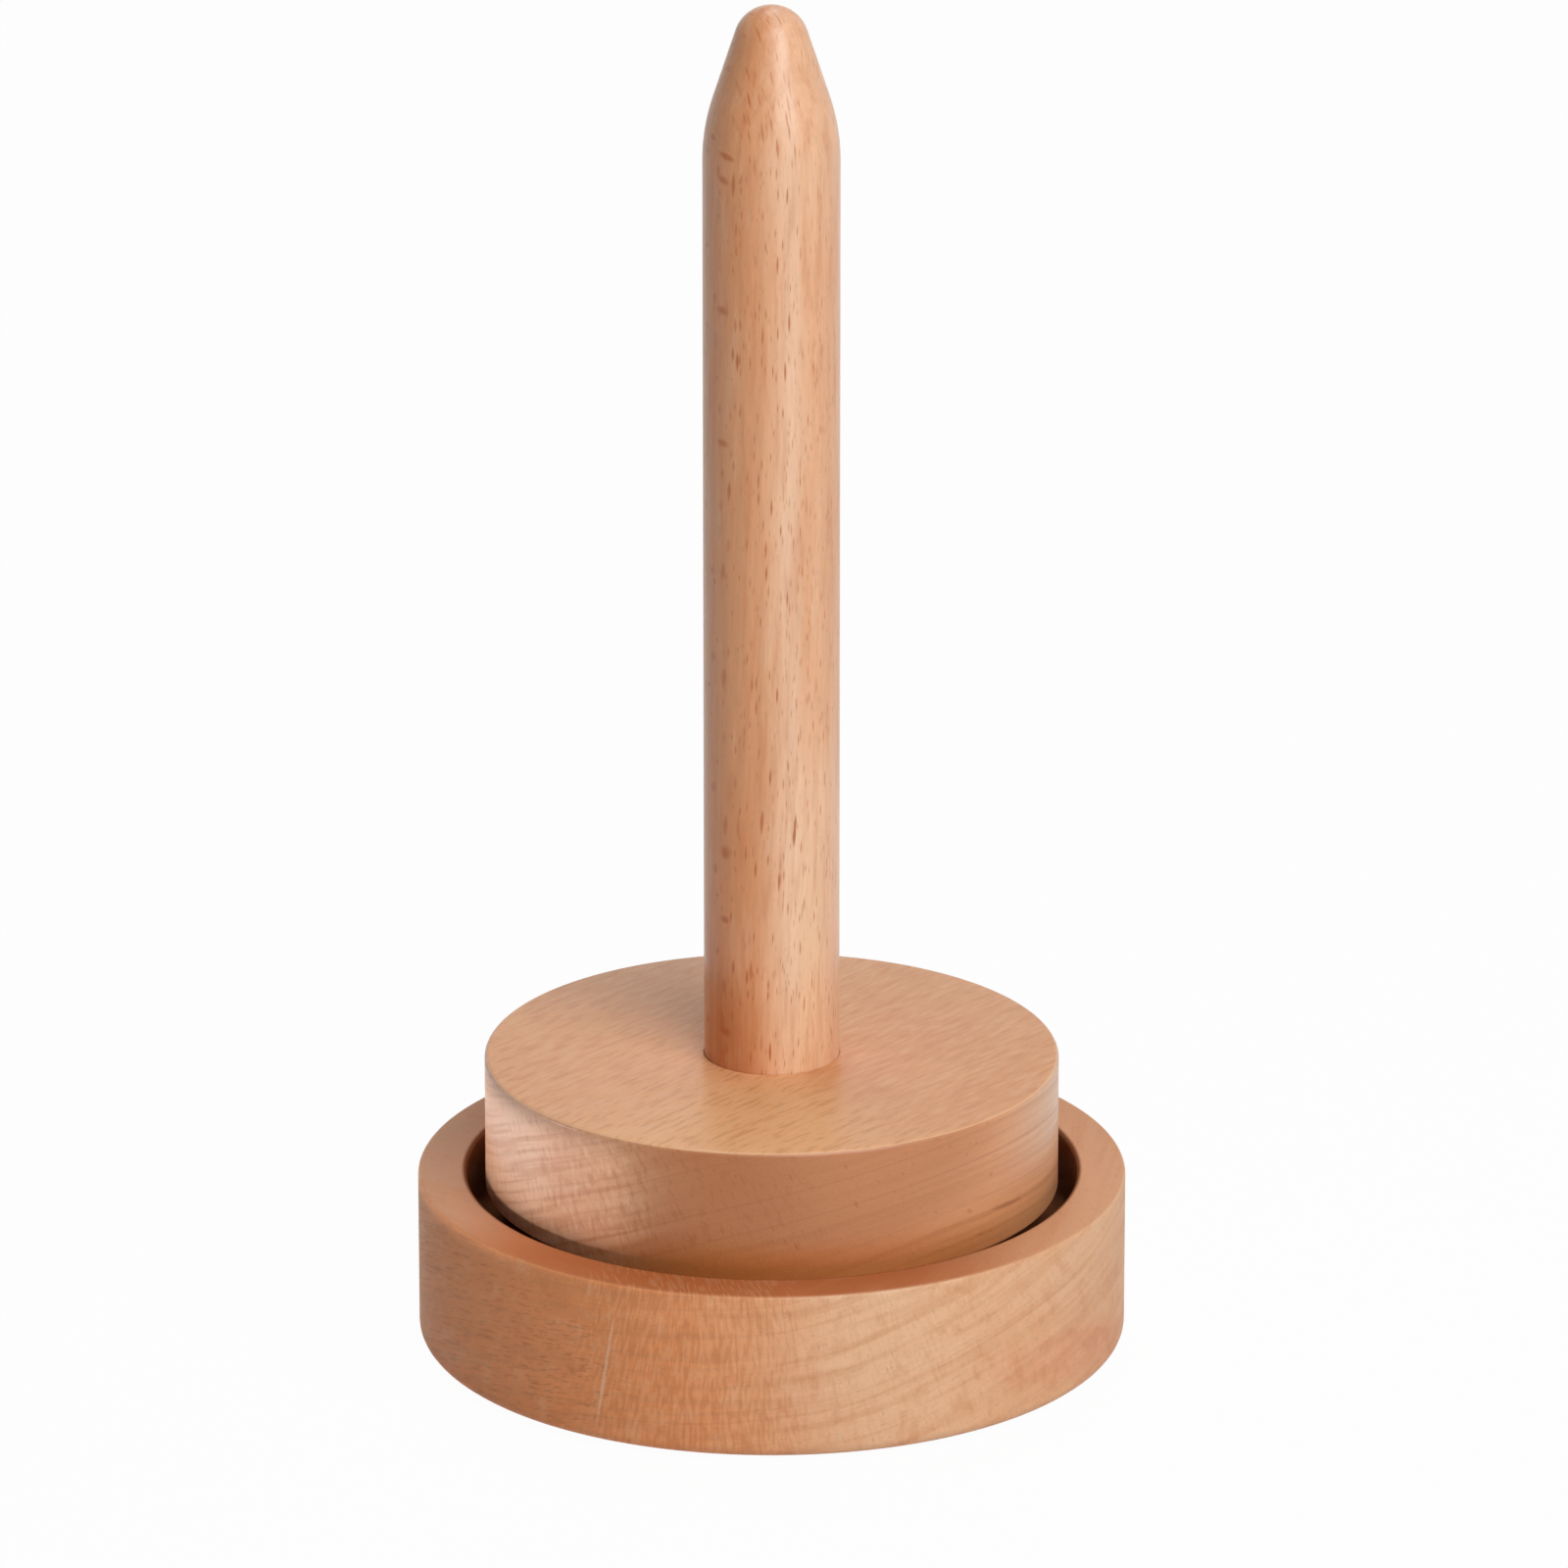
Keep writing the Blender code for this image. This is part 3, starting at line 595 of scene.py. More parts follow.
tray = {
    "outer": 52.5,
    "inner": 45.3,
    "recess": 46.3,
    "bearingSeat": 11.15,
    "boltChamber": 8.95,
    "rimRound": 0.7,
    "footRound": 2,
    "cornerRound": 1.5,
    "seatEdge": 0.2,
    "chamberEdge": 0.15,
    "steps": 288,
}
trayFinish = beechMaterial("beechTurnedOiled", trayWood)
trayOutline = roundedOutline(
    [
        (tray["boltChamber"], stack["recessRoof"], tray["chamberEdge"]),
        (tray["boltChamber"], stack["seatShoulder"], 0),
        (tray["bearingSeat"], stack["seatShoulder"], 0),
        (tray["bearingSeat"], stack["trayFloor"], tray["seatEdge"]),
        (tray["inner"], stack["trayFloor"], tray["cornerRound"]),
        (tray["inner"], stack["rimTop"], tray["rimRound"]),
        (tray["outer"], stack["rimTop"], tray["rimRound"]),
        (tray["outer"], stack["trayBottom"], tray["footRound"]),
        (tray["recess"], stack["trayBottom"], tray["seatEdge"]),
        (tray["recess"], stack["recessRoof"], 0),
    ],
    closed=True,
)
trayPiece = turnOnLathe("tray", trayOutline, tray["steps"], trayFinish)
fit(trayPiece, "base", "beech_tray", "base_tray")
print("tray turned")


# Turntable disc: beech, oiled and rubbed to a faint sheen; more sheen, light and shade and an edge highlight are
# painted on its wall and top
discWood = dict(
    trayWood,
    along=(0.619, 0.785, 0.022),
    pith=(264, -185, -805),
    middle=35,
    faceRadius=42,
    wander=2,
    ringGap=2.3,
    endFrom=0.45,
    hollow=0,
    noises=dict(beechNoises, rayLines=((1.5, 0.45, 0.3), 1.5, 0.5), layers=((0.05, 0.9, 0.02), 2.5, 0.55)),
    lenses=dict(
        trayWood["lenses"],
        longRays=((1.1, 5, 3), (0.15, 0.3), 0.3, (11.3, 2.9, 8.3)),
        poreLines=((0.6, 1.3, 4.5), (0.25, 0.5), 0.6, (5.2, 1.4, 6.6)),
    ),
    marks={
        # paler wood on the left of the wall, with a painted sheen over it
        "paleSide": [(-60, 37, 0, 54, 28, 0.5)],
        "warmLeft": [(-31, 34, 0, 12, 22, 0.1)],
        # painted sheen, a whitish reflection on the left of the wall
        "sheen": [(-46, 37, 0, 16, 16, 0)],
        "hatchSide": [(-30, 36, 0, 16, 30, 0.4)],
        # painted sheen on the right of the wall
        "paleEnd": [(62, 42, 0, 34, 20, 0)],
        # painted shade across the front of the wall
        "deepFront": [(12, 42, 0, 34, 20, 0.3)],
        "ringSide": [(-58, 32, 0, 44, 12.6, 0.85)],
        "raySide": [(12, 34, 0, 16, 40, 0.5)],
        "yellowFront": [(-4, 45, 0, 44, 10, 0)],
        # painted light on the left of the top, against the lamp's falloff and the rod's shadow
        "topLeft": [(-56, 45, 0, 66, 8, 0.3)],
        # painted shade low on the wall by the rim, warm as light bounced off the wood
        "foot": [(8, 24, 0, 60, 9, 0.1)],
        "darkStreak": [(40, 29.8, 4, 5.5, 0.5, 0.3)],
    },
    ground="#DC9C6E",
    tones=[
        ("#D79263", "broad", 0.35, 0.65, 0.6),
        ("#DB9A62", "blush", 0.45, 0.7, 0.4),
        ("#B8723F", "endGrain", 0, 1, 0.75),
        # painted shade across the front of the wall
        ("#9A5022", "deepFront", 0, 1, 0.36, "wall"),
        # paler wood on the left of the wall, with a painted sheen over it
        ("#E4AE8A", "paleSide", 0, 1, 0.8, "wall"),
        # painted sheen, a whitish reflection on the left of the wall
        ("#F0D2BC", "sheen", 0, 1, 0.35, "wall"),
        ("#B0642E", "warmLeft", 0, 1, 0.3, "wall"),
        # painted sheen on the right of the wall
        ("#E6C0A0", "paleEnd", 0, 1, 0.7, "wall"),
        ("#DC9958", "level", 0, 1, 0.35),
        # painted light on the left of the top
        ("#EDAB76", "topLeft", 0, 1, 0.5, "level"),
        ("#FFC188", "yellowFront", 0, 1, 0.8, "level"),
        ("#C67A42", "streaks", 0.5, 0.68, 0.42, "level"),
        ("#F2C296", "streaks", 0.48, 0.34, 0.24, "level"),
        ("#B87648", "layers", 0.45, 0.65, 0.28, "wall"),
        ("#A05C30", "rings", 0, 1, 0.2, "wall"),
        ("#B86E42", "layers", 0.5, 0.62, 0.22, "ringSide"),
        ("#EEC4A4", "layers", 0.46, 0.36, 0.1, "ringSide"),
        ("#EFC8A8", "rayLines", 0.54, 0.68, 0.2, "hatchSide"),
        ("#9A5022", "rayLines", 0.46, 0.3, 0.26, "endGrain"),
        ("#97491A", "longRays", 0, 1, 0.4, "raySide"),
        ("#A9683A", "poreLines", 0, 1, 0.25, "level"),
        ("#97491A", "boldRays", 0, 1, 0.3, "wall"),
        ("#95562F", "darkStreak", 0, 1, 0.5, "wall"),
        # painted shade low on the wall by the rim, warm as bounced light
        ("#C86C28", "foot", 0, 1, 0.65, "wall"),
        # painted highlight along the rounded edges
        ("#F2C8A4", "edges", 0.05, 0.25, 0.5),
    ],
    coat=0.35,
    coatRoughness=0.24,
    roughness=0.52,
)
disc = {
    "radius": 42.5,
    "socket": 10.04,
    "edgeRound": 0.7,
    "lowEdgeRound": 0.3,
    "boss": 18,
    "bossFillet": 1.5,
    "pivotBore": 6.15,
    "pivotBoreTop": 28.95,
    "rodBore": 5.15,
    "rodBoreFloor": 33.35,
    "boreFloorRound": 0.3,
    "pivotBoreEdge": 0.2,
    "socketEdge": 0.15,
    "socketFloorRound": 0.2,
    "rodBoreEdge": 0.15,
    "steps": 288,
}
discFinish = beechMaterial("beechTurnedRubbed", discWood)
discOutline = roundedOutline(
    [
        (0, disc["pivotBoreTop"], 0),
        (disc["pivotBore"], disc["pivotBoreTop"], disc["boreFloorRound"]),
        (disc["pivotBore"], stack["discBottom"], disc["pivotBoreEdge"]),
        (disc["boss"], stack["discBottom"], disc["edgeRound"]),
        (disc["boss"], stack["discEdgeBottom"], disc["bossFillet"]),
        (disc["radius"], stack["discEdgeBottom"], disc["lowEdgeRound"]),
        (disc["radius"], stack["discTop"], disc["edgeRound"]),
        (disc["socket"], stack["discTop"], disc["socketEdge"]),
        (disc["socket"], stack["socketFloor"], disc["socketFloorRound"]),
        (disc["rodBore"], stack["socketFloor"], disc["rodBoreEdge"]),
        (disc["rodBore"], disc["rodBoreFloor"], disc["boreFloorRound"]),
        (0, disc["rodBoreFloor"], 0),
    ]
)
discPiece = turnOnLathe("turntableDisc", discOutline, disc["steps"], discFinish)
fit(discPiece, "turntable", "beech_disc", "turntable_disc")
print("disc turned")


# Spindle rod: a beech dowel with the grain upright, oiled
rodWood = dict(
    trayWood,
    along=(0.02, 0, 1),
    pith=(-38.6, 46, 0),
    middle=120,
    faceRadius=10,
    hollow=0,
    wander=2,
    ringGap=3,
    noises=dict(beechNoises, streaks=((0.8, 0.8, 0.07), 2, 0.5)),
    lenses={
        "boldRays": ((0.5, 5, 5.5), (0.24, 0.5), 0.7, (3.1, 7.7, 1.9)),
        "fineRays": ((0.36, 3, 3.4), (0.2, 0.5), 0.75, (11.3, 2.9, 8.3)),
        "poreLines": ((0.7, 1.2, 5.5), (0.2, 0.4), 0.4, (5.2, 1.4, 6.6)),
    },
    # the brown flakes up the left side, the longest dash at the front and where the dashes lie, then painted
    # light and shade: a highlight stripe, warm shade down the left and at the foot, and light low on the right
    marks={
        "flakes": [
            (-7.2, 184.6, 14, 2.3, 0.7, 0.2),
            (-7.7, 181, 20, 2, 1, 0),
            (-7.9, 161.3, 6, 1.9, 1.1, 0),
            (-7.9, 141.2, 4, 1.8, 1, 0),
            (-7.4, 78.3, 0, 1.5, 1.8, 0),
            (-7.6, 67.8, 0, 1.6, 1, 0),
            (-7.6, 50.3, 8, 1.9, 1.1, 0),
        ],
        "longDash": [(3.5, 82.4, 4, 0.4, 3.6, 0.3)],
        # painted highlight, a pale stripe right of the front
        "paleStripe": [(3, 120, 0, 2.6, 200, 0)],
        "dashZone": [(-1, 120, 0, 13, 200, 0.3)],
        # the shaded left side painted warmer orange, standing in for light bounced off the wood
        "warmSide": [(-7, 110, 0, 11, 400, 0.2)],
        # painted shade at the rod's foot on its left, warm as bounced light
        "warmFoot": [(-8, 42, 0, 9, 28, 0.2)],
        # painted light low on the lit right side
        "paleFoot": [(5, 55, 0, 8, 45, 0.1)],
    },
    ground="#F4C49E",
    tones=[
        ("#E6A87C", "broad", 0.35, 0.65, 0.7),
        ("#E8B494", "blush", 0.45, 0.7, 0.4),
        # painted warm shade down the left side
        ("#DC8642", "warmSide", 0, 1, 0.6),
        # painted shade at the rod's foot on its left
        ("#B8652E", "warmFoot", 0, 1, 0.5),
        # painted light low on the lit right side
        ("#F8D4A8", "paleFoot", 0, 1, 0.4),
        # painted highlight, a pale stripe right of the front
        ("#FAE0C8", "paleStripe", 0, 1, 0.25),
        ("#D4986A", "layers", 0.45, 0.7, 0.3),
        ("#D09266", "rings", 0, 1, 0.15),
        ("#C46A34", "streaks", 0.5, 0.72, 0.26),
        ("#F6D2B4", "streaks", 0.46, 0.3, 0.16),
        ("#C0682C", "fineRays", 0, 1, 0.6),
        ("#A4541F", "poreLines", 0, 1, 0.35, "dashZone"),
        ("#B65612", "boldRays", 0, 1, 0.75, "dashZone"),
        ("#BA5E18", "flakes", 0, 1, 0.75),
        ("#A44A10", "longDash", 0, 1, 0.8),
    ],
    fibreDepth=0.07,
    roughness=0.52,
    coat=0.4,
    coatRoughness=0.22,
)
rod = {
    "radius": 10,
    "holeRadius": 3.15,
    "holeTop": 66.95,
    "holePoint": 4,
    "holeEdge": 0.15,
    "tipDome": 5.5,
    "tipSlope": 18.2,
    "shoulder": 30,
    "footRound": 0.4,
    "footBand": 20,
    "shoulderSteps": 16,
    "domeSteps": 24,
    "steps": 144,
}
rodFinish = beechMaterial("beechDowelOiled", rodWood)


def rodOutline():
    slope = math.radians(rod["tipSlope"])
    dome, shoulder = rod["tipDome"], rod["shoulder"]
    domeZ = stack["rodTip"] - dome
    coneTop = (dome * math.cos(slope), domeZ + dome * math.sin(slope))
    coneFootR = rod["radius"] - shoulder * (1 - math.cos(slope))
    coneFootZ = coneTop[1] - (coneFootR - coneTop[0]) / math.tan(slope)
    shoulderZ = coneFootZ - shoulder * math.sin(slope)
    outline = roundedOutline(
        [
            (0, rod["holeTop"], 0),
            (rod["holeRadius"], rod["holeTop"] - rod["holePoint"], 0),
            (rod["holeRadius"], stack["rodFoot"], rod["holeEdge"]),
            (rod["radius"], stack["rodFoot"], rod["footRound"]),
            (rod["radius"], stack["rodFoot"] + rod["footBand"], 0),
        ]
    )
    for i in range(rod["shoulderSteps"] + 1):
        angle = slope * i / rod["shoulderSteps"]
        r = rod["radius"] - shoulder * (1 - math.cos(angle))
        outline.append((r, shoulderZ + shoulder * math.sin(angle), 0, 0, 0))
    for i in range(rod["domeSteps"] + 1):
        angle = slope + (math.pi / 2 - slope) * i / rod["domeSteps"]
        r = dome * math.cos(angle) if i < rod["domeSteps"] else 0
        outline.append((r, domeZ + dome * math.sin(angle), 0, 0, 0))
    return outline


rodPiece = turnOnLathe("spindleRod", rodOutline(), rod["steps"], rodFinish)
fit(rodPiece, "turntable", "beech_rod", "spindle_rod")
print("rod turned")


# Foot pad: closed-cell EVA foam, die cut, black and matt
foam = {
    "light": "#2E2D2B",
    "dark": "#232220",
    "pit": "#141312",
    "cell": 0.45,
    "cellShade": 0.6,
    "cloudScale": 60,
    "roughness": 0.85,
    "bump": 0.5,
}
pad = {"radius": 46, "thickness": 2, "edge": 0.4, "steps": 192}
padFinish = mouldedPlastic("evaFoamDieCut", foam)
padOutline = roundedOutline(
    [
        (0, 0, 0),
        (pad["radius"], 0, pad["edge"]),
        (pad["radius"], pad["thickness"], pad["edge"]),
        (0, pad["thickness"], 0),
    ]
)
padPiece = turnOnLathe("footPad", padOutline, pad["steps"], padFinish)
fit(padPiece, "base", "foam_pad", "anti_slip_pad")
print("foot pad cut")


# Bearing steel, hardened and ground bright
groundSteel = dict(light="#C9CBCE", dark="#B3B6BA", lineGap=0.12, cloudScale=90, roughness=0.2, bump=0.25)
polishedSteel = dict(light="#D3D5D8", dark="#C6C8CC", lineGap=0.3, cloudScale=160, roughness=0.08, bump=0.02)
pressedSteel = dict(light="#B4B6B9", dark="#9DA0A4", lineGap=0.4, cloudScale=120, roughness=0.34, bump=0.1)
bearing = {
    "bore": 4,
    "outer": 11,
    "width": 7,
    "pitch": 7.5,
    "ballRadius": 1.985,
    "groove": 2.06,
    "landStep": 1.45,
    "shieldSeat": 9.6,
    "shieldDepth": 0.85,
    "ledgeEdge": 0.05,
    "lipEdge": 0.1,
    "boreEdge": 0.3,
    "outerEdge": 0.35,
    "grooveSteps": 16,
    "balls": 7,
    "steps": 144,
}
ringFinish = turnedMetal("bearingSteelGround", groundSteel)
ballFinish = turnedMetal("bearingSteelPolished", polishedSteel)
shieldFinish = turnedMetal("sheetSteelPressed", pressedSteel)


def grooveArc(facing):
    middle = stack["bearing"] + bearing["width"] / 2
    reach = math.acos(bearing["landStep"] / bearing["groove"])
    points = []
    for i in range(bearing["grooveSteps"] + 1):
        angle = -reach + 2 * reach * i / bearing["grooveSteps"]
        r = bearing["pitch"] + facing * bearing["groove"] * math.cos(angle)
        points.append((r, middle + bearing["groove"] * math.sin(angle), 0, 0, 0))
    return points


def makeRing(name, corners, facing, body, node):
    outline = roundedOutline(corners)
    outline += grooveArc(facing) + [outline[0]]
    fit(turnOnLathe(name, outline, bearing["steps"], ringFinish), body, "bearing_steel", node)


low, high = stack["bearing"], stack["bearing"] + bearing["width"]
ledgeLow, ledgeHigh = low + bearing["shieldDepth"], high - bearing["shieldDepth"]
outerLand = bearing["pitch"] + bearing["landStep"]
innerLand = bearing["pitch"] - bearing["landStep"]
outerCorners = [
    (outerLand, ledgeHigh, 0),
    (bearing["shieldSeat"], ledgeHigh, bearing["ledgeEdge"]),
    (bearing["shieldSeat"], high, bearing["lipEdge"]),
    (bearing["outer"], high, bearing["outerEdge"]),
    (bearing["outer"], low, bearing["outerEdge"]),
    (bearing["shieldSeat"], low, bearing["lipEdge"]),
    (bearing["shieldSeat"], ledgeLow, bearing["ledgeEdge"]),
    (outerLand, ledgeLow, 0),
]
innerCorners = [
    (innerLand, high, 0),
    (bearing["bore"], high, bearing["boreEdge"]),
    (bearing["bore"], low, bearing["boreEdge"]),
    (innerLand, low, 0),
]
makeRing("bearingOuterRing", outerCorners, 1, "base", "bearing_outer_ring")
makeRing("bearingInnerRing", innerCorners, -1, "turntable", "bearing_inner_ring")

# two pressed steel shields: a rolled outer edge, a flat web and a small lip inside
shield = dict(inner=6.35, outer=9.45, sheet=0.4, web=0.32, rolled=0.5, setback=0.3, lip=0.25, steps=128)


def shieldOutline(base, up):
    inner, outer, lip = shield["inner"], shield["outer"], shield["inner"] + shield["lip"]
    sheet, web, rolled = (base + up * shield[key] for key in ("sheet", "web", "rolled"))
    return roundedOutline(
        [
            (inner, base, 0.08),
            (outer, base, 0.18),
            (outer, rolled, 0.1),
            (outer - 0.35, rolled, 0.06),
            (outer - 0.5, web, 0.06),
            (lip, web, 0.06),
            (lip, sheet, 0.04),
            (inner, sheet, 0.08),
        ],
        closed=True,
        arcSteps=3,
    )


for label, node, base, up in (
    ("bearingShieldLower", "bearing_shield_lower", low + shield["setback"], 1),
    ("bearingShieldUpper", "bearing_shield_upper", high - shield["setback"], -1),
):
    shieldPiece = turnOnLathe(label, shieldOutline(base, up), shield["steps"], shieldFinish)
    fit(shieldPiece, "base", "shield_steel", node)


def makeBalls(name, radius, finish):
    maker = linkObject(name + "Maker", bpy.data.meshes.new(name + "Maker"))
    inputs = {
        "Balls": bearing["balls"],
        "Pitch radius": bearing["pitch"] * mm,
        "Ball radius": radius * mm,
        "Height": (low + bearing["width"] / 2) * mm,
        "Finish": finish,
    }
    useTree(maker, ballRing, inputs)
    return asPlainPiece(maker, name)


ballPiece = makeBalls("bearingBalls", bearing["ballRadius"], ballFinish)
fit(ballPiece, "ball_cage", "ball_steel", *[f"bearing_ball_{i + 1}" for i in range(bearing["balls"])])

# crown cage: moulded nylon, one ring with a snap-in pocket for each ball
nylon = dict(
    foam, light="#E6DFCD", dark="#DAD1BA", pit="#C9BFA5", cell=0.5, cellShade=0.15, roughness=0.45, bump=0.1
)
cage = dict(inner=6.45, outer=8.55, bottom=1.02, top=4.7, pocket=2.15, bottomRound=0.15, topRound=0.2, steps=112)
cageFinish = mouldedPlastic("nylonMoulded", nylon)
cageBlank = turnOnLathe(
    "bearingCage",
    roundedOutline(
        [
            (cage["inner"], low + cage["bottom"], cage["bottomRound"]),
            (cage["outer"], low + cage["bottom"], cage["bottomRound"]),
            (cage["outer"], low + cage["top"], cage["topRound"]),
            (cage["inner"], low + cage["top"], cage["topRound"]),
        ],
        closed=True,
        arcSteps=3,
    ),
    cage["steps"],
    cageFinish,
)
cagePiece = carve(cageBlank, makeBalls("pocketCutter", cage["pocket"], cageFinish))
fit(cagePiece, "ball_cage", "cage_nylon", "bearing_cage")
print("bearing assembled")


# Fasteners: steel with bright zinc plating, a little blue, with cut or rolled threads
zinc = dict(light="#B9BEC6", dark="#A3A8AE", lineGap=0.25, cloudScale=140, roughness=0.3, bump=0.12)
brassBar = dict(light="#CBA55A", dark="#B48E48", lineGap=0.15, cloudScale=110, roughness=0.28, bump=0.25)
zincFinish = turnedMetal("steelZincPlated", zinc)
brassFinish = turnedMetal("brassTurned", brassBar)

bolt = {
    "radius": 3.85,
    "depth": 0.62,
    "pitch": 1.25,
    "threadRows": 150,
    "neck": 0.2,
    "chamfer": (0.75, 0.7),
    "headRadius": 7,
    "faceRadius": 3.9,
    "headEdge": 0.8,
    "headSteps": 12,
    "socket": 5,
    "socketDepth": 2.6,
    "cutterAbove": 1,  # mm the socket's cutter stands out
    "steps": 64,
}


def boltOutline():
    bottom, top = stack["boltBottom"], stack["boltHeadTop"]
    dome = top - bolt["headEdge"] - bottom
    outline = [(0, bottom, 0, 0, 0)]
    for i in range(bolt["headSteps"] + 1):
        angle = math.pi / 2 * i / bolt["headSteps"]
        r = bolt["faceRadius"] + (bolt["headRadius"] - bolt["faceRadius"]) * math.sin(angle)
        outline.append((r, bottom + dome * (1 - math.cos(angle)), 0, 0, 0))
    outline += [(bolt["headRadius"], top, 0, 0, 0), (bolt["radius"], top, 0, 0, 0)]
    end = stack["boltTop"]
    inward, back = bolt["chamfer"]
    thread = (bolt["depth"], 1, 1 / bolt["pitch"], bolt["threadRows"])
    outline += threadedWall(bolt["radius"], top + bolt["neck"], end - back, *thread)
    outline += [(bolt["radius"] - inward, end, 0, 0, 0), (0, end, 0, 0, 0)]
    return outline


boltBlank = turnOnLathe("pivotBolt", boltOutline(), bolt["steps"], zincFinish)
hexCorner = bolt["socket"] / math.sqrt(3) * mm
hexMiddle = stack["boltBottom"] + (bolt["socketDepth"] - bolt["cutterAbove"]) / 2
hexCutter = bmesh.new()
bmesh.ops.create_cone(
    hexCutter,
    cap_ends=True,
    segments=6,
    radius1=hexCorner,
    radius2=hexCorner,
    depth=(bolt["socketDepth"] + bolt["cutterAbove"]) * mm,
    matrix=Matrix.Translation((0, 0, hexMiddle * mm)),
)
hexMesh = bpy.data.meshes.new("hexCutter")
hexCutter.to_mesh(hexMesh)
hexCutter.free()
boltPiece = carve(boltBlank, linkObject("hexCutter", hexMesh))
fit(boltPiece, "turntable", "zinc_steel", "pivot_bolt")

washer = {"inner": 4, "outer": 5.8, "thickness": 1, "edge": 0.15, "steps": 96}
for label, node in (("headWasher", "head_washer"), ("spacerWasher", "spacer_washer")):
    inner, outer, base = washer["inner"], washer["outer"], stack[label]
    top = base + washer["thickness"]
    corners = [(r, z, washer["edge"]) for r, z in ((inner, base), (outer, base), (outer, top), (inner, top))]
    outline = roundedOutline(corners, closed=True, arcSteps=3)
    washerPiece = turnOnLathe(label, outline, washer["steps"], zincFinish)
    fit(washerPiece, "turntable", "zinc_steel", node)

# a machine thread below and a coarser wood thread above: depth, starts, turns per mm, rows
stud = {
    "radius": 3,
    "machineThread": (0.5, 1, 1, 60),
    "woodThread": (0.75, 1, 1 / 2.4, 110),
    "low": 34.6,
    "high": 66.65,
    "chamfer": (0.6, 0.5),
    "neck": (0.2, 1.5),  # plain, in the disc and in the rod
    "point": 4,
    "steps": 48,
}
inward, back = stud["chamfer"]
neck = (stack["socketFloor"] - stud["neck"][0], stack["rodFoot"] + stud["neck"][1])
studOutline = [(0, stud["low"], 0, 0, 0), (stud["radius"] - inward, stud["low"], 0, 0, 0)]
studOutline += threadedWall(stud["radius"], stud["low"] + back, neck[0], *stud["machineThread"])
studOutline += threadedWall(stud["radius"], neck[1], stud["high"] - stud["point"], *stud["woodThread"])
studOutline += [(0, stud["high"], 0, 0, 0)]
studPiece = turnOnLathe("rodStud", studOutline, stud["steps"], zincFinish)
fit(studPiece, "turntable", "zinc_steel", "rod_stud")

# brass inserts: threaded inside, knurled outside in bands with plain barbs between
pivotInsert = {
    "outer": 6,
    "inner": 4,
    "threadDepth": 0.5,
    "pitch": 1.25,
    "rowsPerMm": 7,
    "chamfer": (0.25, 0.3),
    "rootDepth": 0.5,
    "leadIn": 0.2,
    "knurls": 40,
    "knurlDepth": 0.3,
    "bands": 3,
    "steps": 160,
}
rodInsert = dict(pivotInsert, outer=5, inner=3.15, threadDepth=0.4, pitch=1, knurls=32, bands=2, steps=128)


def insertOutline(part, bottom, top):
    outward, back = part["chamfer"]
    thread = (-part["threadDepth"], 1, 1 / part["pitch"], int((top - bottom) * part["rowsPerMm"]))
    knurl = (part["knurlDepth"], part["knurls"], 0, 4)
    outline = threadedWall(part["inner"], top - back, bottom + back, *thread)
    outline.append((part["inner"] + outward, bottom, 0, 0, 0))
    root = part["outer"] - part["rootDepth"]
    outline.append((root - part["leadIn"], bottom, 0, 0, 0))
    band = (top - bottom) / part["bands"]
    for i in range(part["bands"]):
        start = bottom + band * i
        outline += [(root, start + 0.25, 0, 0, 0), (root, start + band * 0.3, 0, 0, 0)]
        outline += threadedWall(part["outer"], start + band * 0.4, start + band - 0.3, *knurl, runOut=0.2)
    outline += [(root, top, 0, 0, 0), (part["inner"] + outward, top, 0, 0, 0)]
    outline.append(outline[0])
    return outline


for label, node, part, bottom, top in (
    ("pivotInsert", "pivot_insert", pivotInsert, stack["discBottom"], stack["pivotInsertTop"]),
    ("rodInsert", "rod_insert", rodInsert, stack["rodInsertBottom"], stack["socketFloor"]),
):
    insertPiece = turnOnLathe(label, insertOutline(part, bottom, top), part["steps"], brassFinish)
    fit(insertPiece, "turntable", "insert_brass", node)
print("fasteners made")


# Studio: a white floor that keeps a soft shadow, a white surround, and soft lamps
studio = {"floorGlow": 0.97, "surround": 0.06, "floorRadius": 4, "floorSides": 96}
lamps = {
    "key": {"at": (0.63, -1.09, 1.07), "size": (1.2, 1.2), "watts": 21.5, "aim": (0, 0, 0.08)},
    "above": {"at": (0, 0.7, 1.52), "size": (0.7, 0.7), "watts": 6, "aim": (0, 0, 0.08)},
    # a narrow beam on the disc's left wall, which shines there in the photograph
    "accent": {
        "at": (-0.2, 0.004, 0.029),
        "size": (0.082, 0.016),
        "watts": 0.0026,
        "spread": 2.5,
        "aim": (-0.042, 0.004, 0.0345),
    },
}


# 1 where a surface is seen, directly or mirrored, and 0 where it only lights others
def seenDirectly(add):
    path = add("ShaderNodeLightPath").outputs
    seen = add(maths, {0: path["Is Camera Ray"], 1: path["Is Glossy Ray"]}, operation="MAXIMUM")
    return add(maths, {0: seen, 1: path["Is Transmission Ray"]}, operation="MAXIMUM")


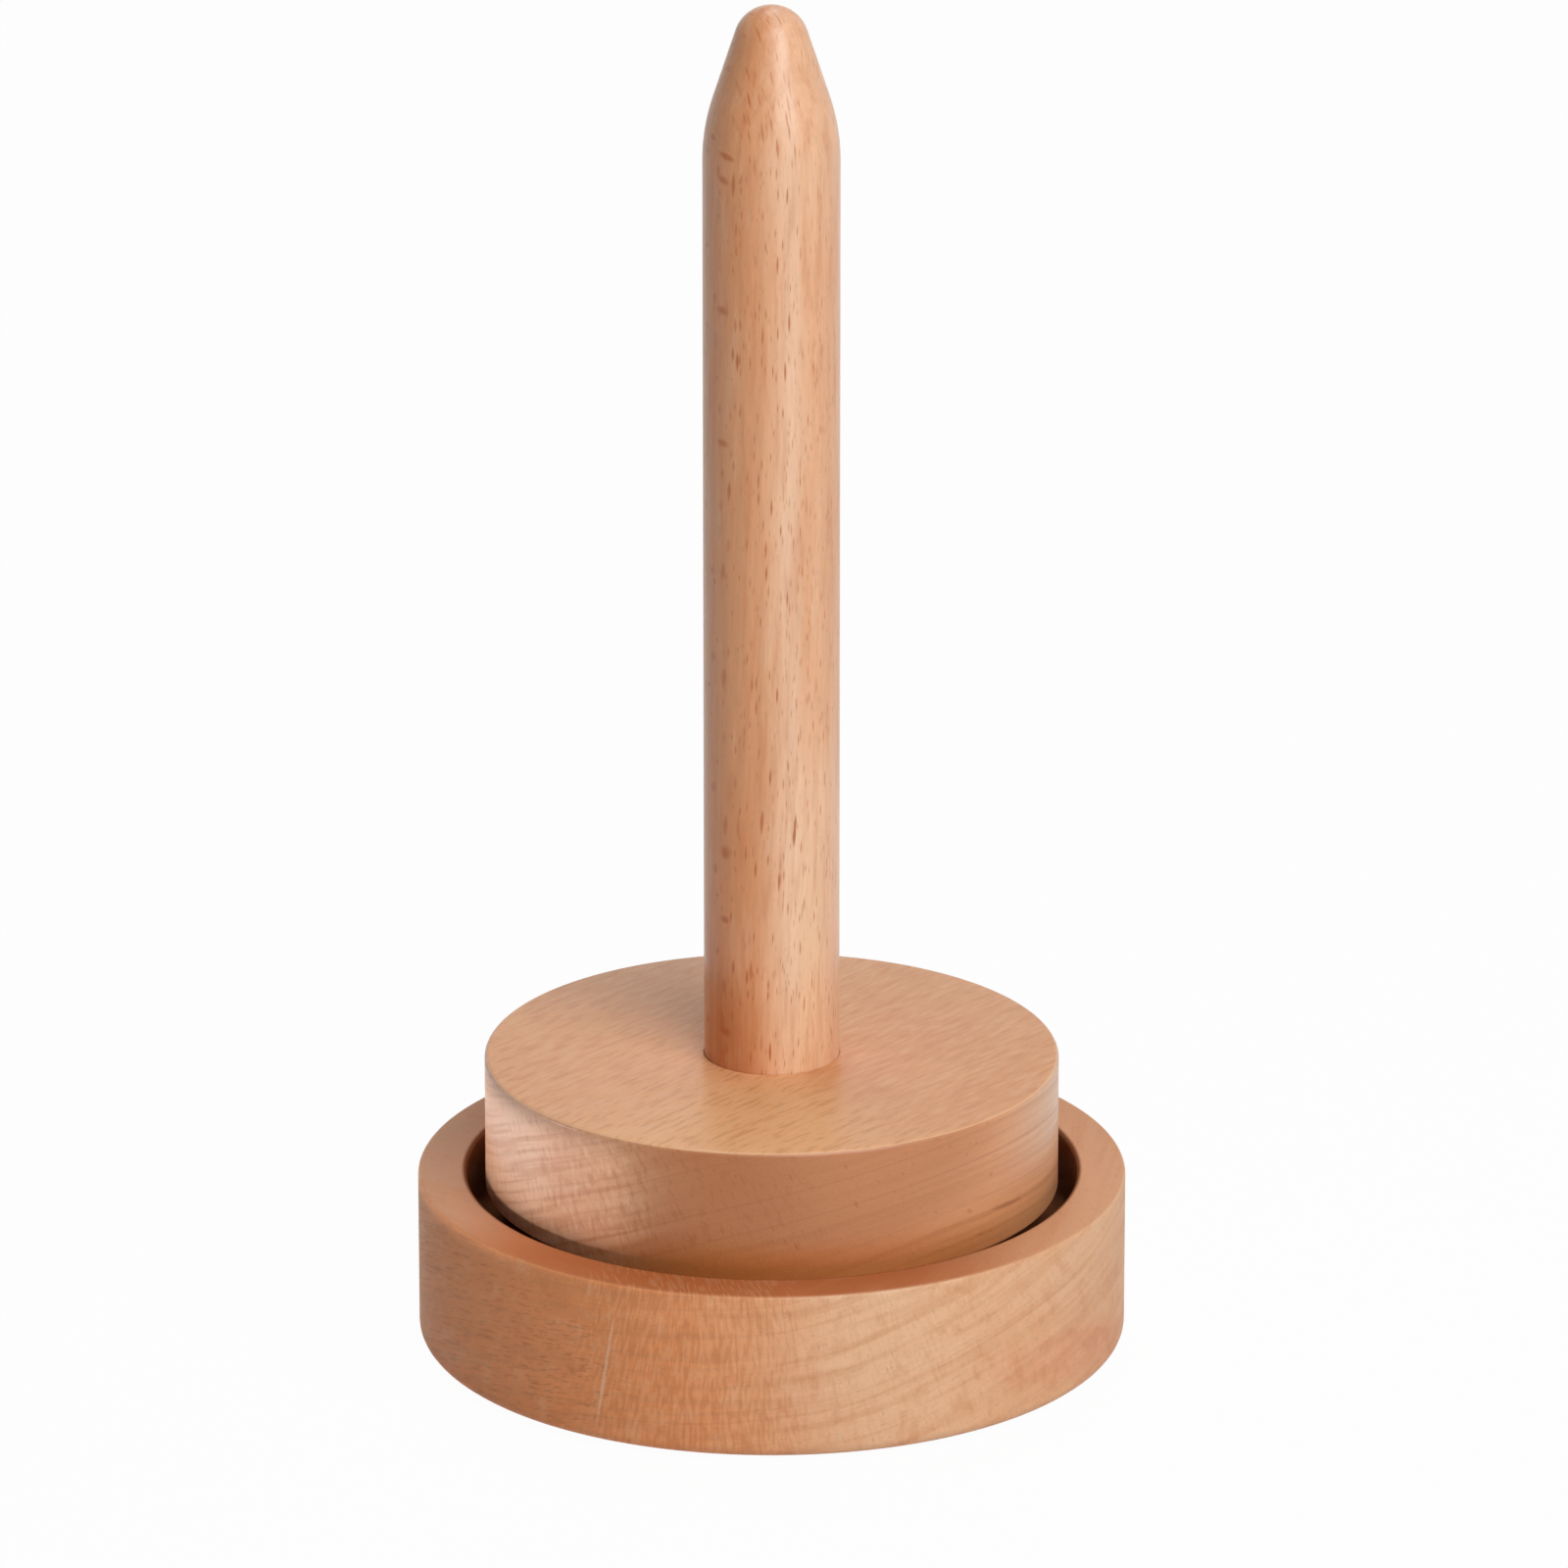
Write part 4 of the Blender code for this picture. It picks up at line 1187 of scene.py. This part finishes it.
def buildStudio():
    world = bpy.data.worlds.new("studio")
    bpy.context.scene.world = world
    world.use_nodes = True
    world.node_tree.nodes.clear()
    add = partial(addNode, world.node_tree)
    soft = add("ShaderNodeBackground", {"Color": (1, 1, 1, 1), "Strength": studio["surround"]})
    white = add("ShaderNodeBackground", {"Color": (1, 1, 1, 1), "Strength": 1})
    surround = add("ShaderNodeMixShader", {0: seenDirectly(add), 1: soft, 2: white})
    add("ShaderNodeOutputWorld", {"Surface": surround})

    # white paper: partly glows where it is seen, so that it reads white and still keeps the shadow
    material = bpy.data.materials.new("whitePaper")
    material.use_nodes = True
    material.node_tree.nodes.clear()
    add = partial(addNode, material.node_tree)
    place = add("ShaderNodeTexCoord").outputs["Object"]
    cloud = add(noise, {"Vector": place, "Scale": 3, "Detail": 2})
    tone = add(mix, {0: cloud, 6: (0.8, 0.8, 0.8, 1), 7: (0.82, 0.82, 0.82, 1)}, data_type="RGBA")
    matt = add("ShaderNodeBsdfDiffuse", {"Color": tone})
    glow = add("ShaderNodeEmission", {"Color": (1, 1, 1, 1), "Strength": 1})
    share = add(maths, {0: seenDirectly(add), 1: studio["floorGlow"]}, **times)
    lit = add("ShaderNodeMixShader", {0: share, 1: matt, 2: glow})
    back = add("ShaderNodeNewGeometry").outputs["Backfacing"]
    both = add("ShaderNodeMixShader", {0: back, 1: lit, 2: add("ShaderNodeBsdfTransparent")})
    add("ShaderNodeOutputMaterial", {"Surface": both})

    sheet = bmesh.new()
    bmesh.ops.create_circle(sheet, cap_ends=True, segments=studio["floorSides"], radius=studio["floorRadius"])
    mesh = bpy.data.meshes.new("floor")
    sheet.to_mesh(mesh)
    sheet.free()
    mesh.materials.append(material)
    linkObject("floor", mesh)

    for name, lamp in lamps.items():
        data = bpy.data.lights.new(name, "AREA")
        data.shape = "RECTANGLE"
        data.size, data.size_y = lamp["size"]
        data.energy = lamp["watts"]
        data.spread = math.radians(lamp.get("spread", 180))
        obj = linkObject(name, data)
        obj.location = lamp["at"]
        obj.rotation_euler = (Vector(lamp["aim"]) - obj.location).to_track_quat("-Z", "Y").to_euler()


buildStudio()
bpy.context.scene.view_settings.view_transform = "Standard"
print("studio lit")
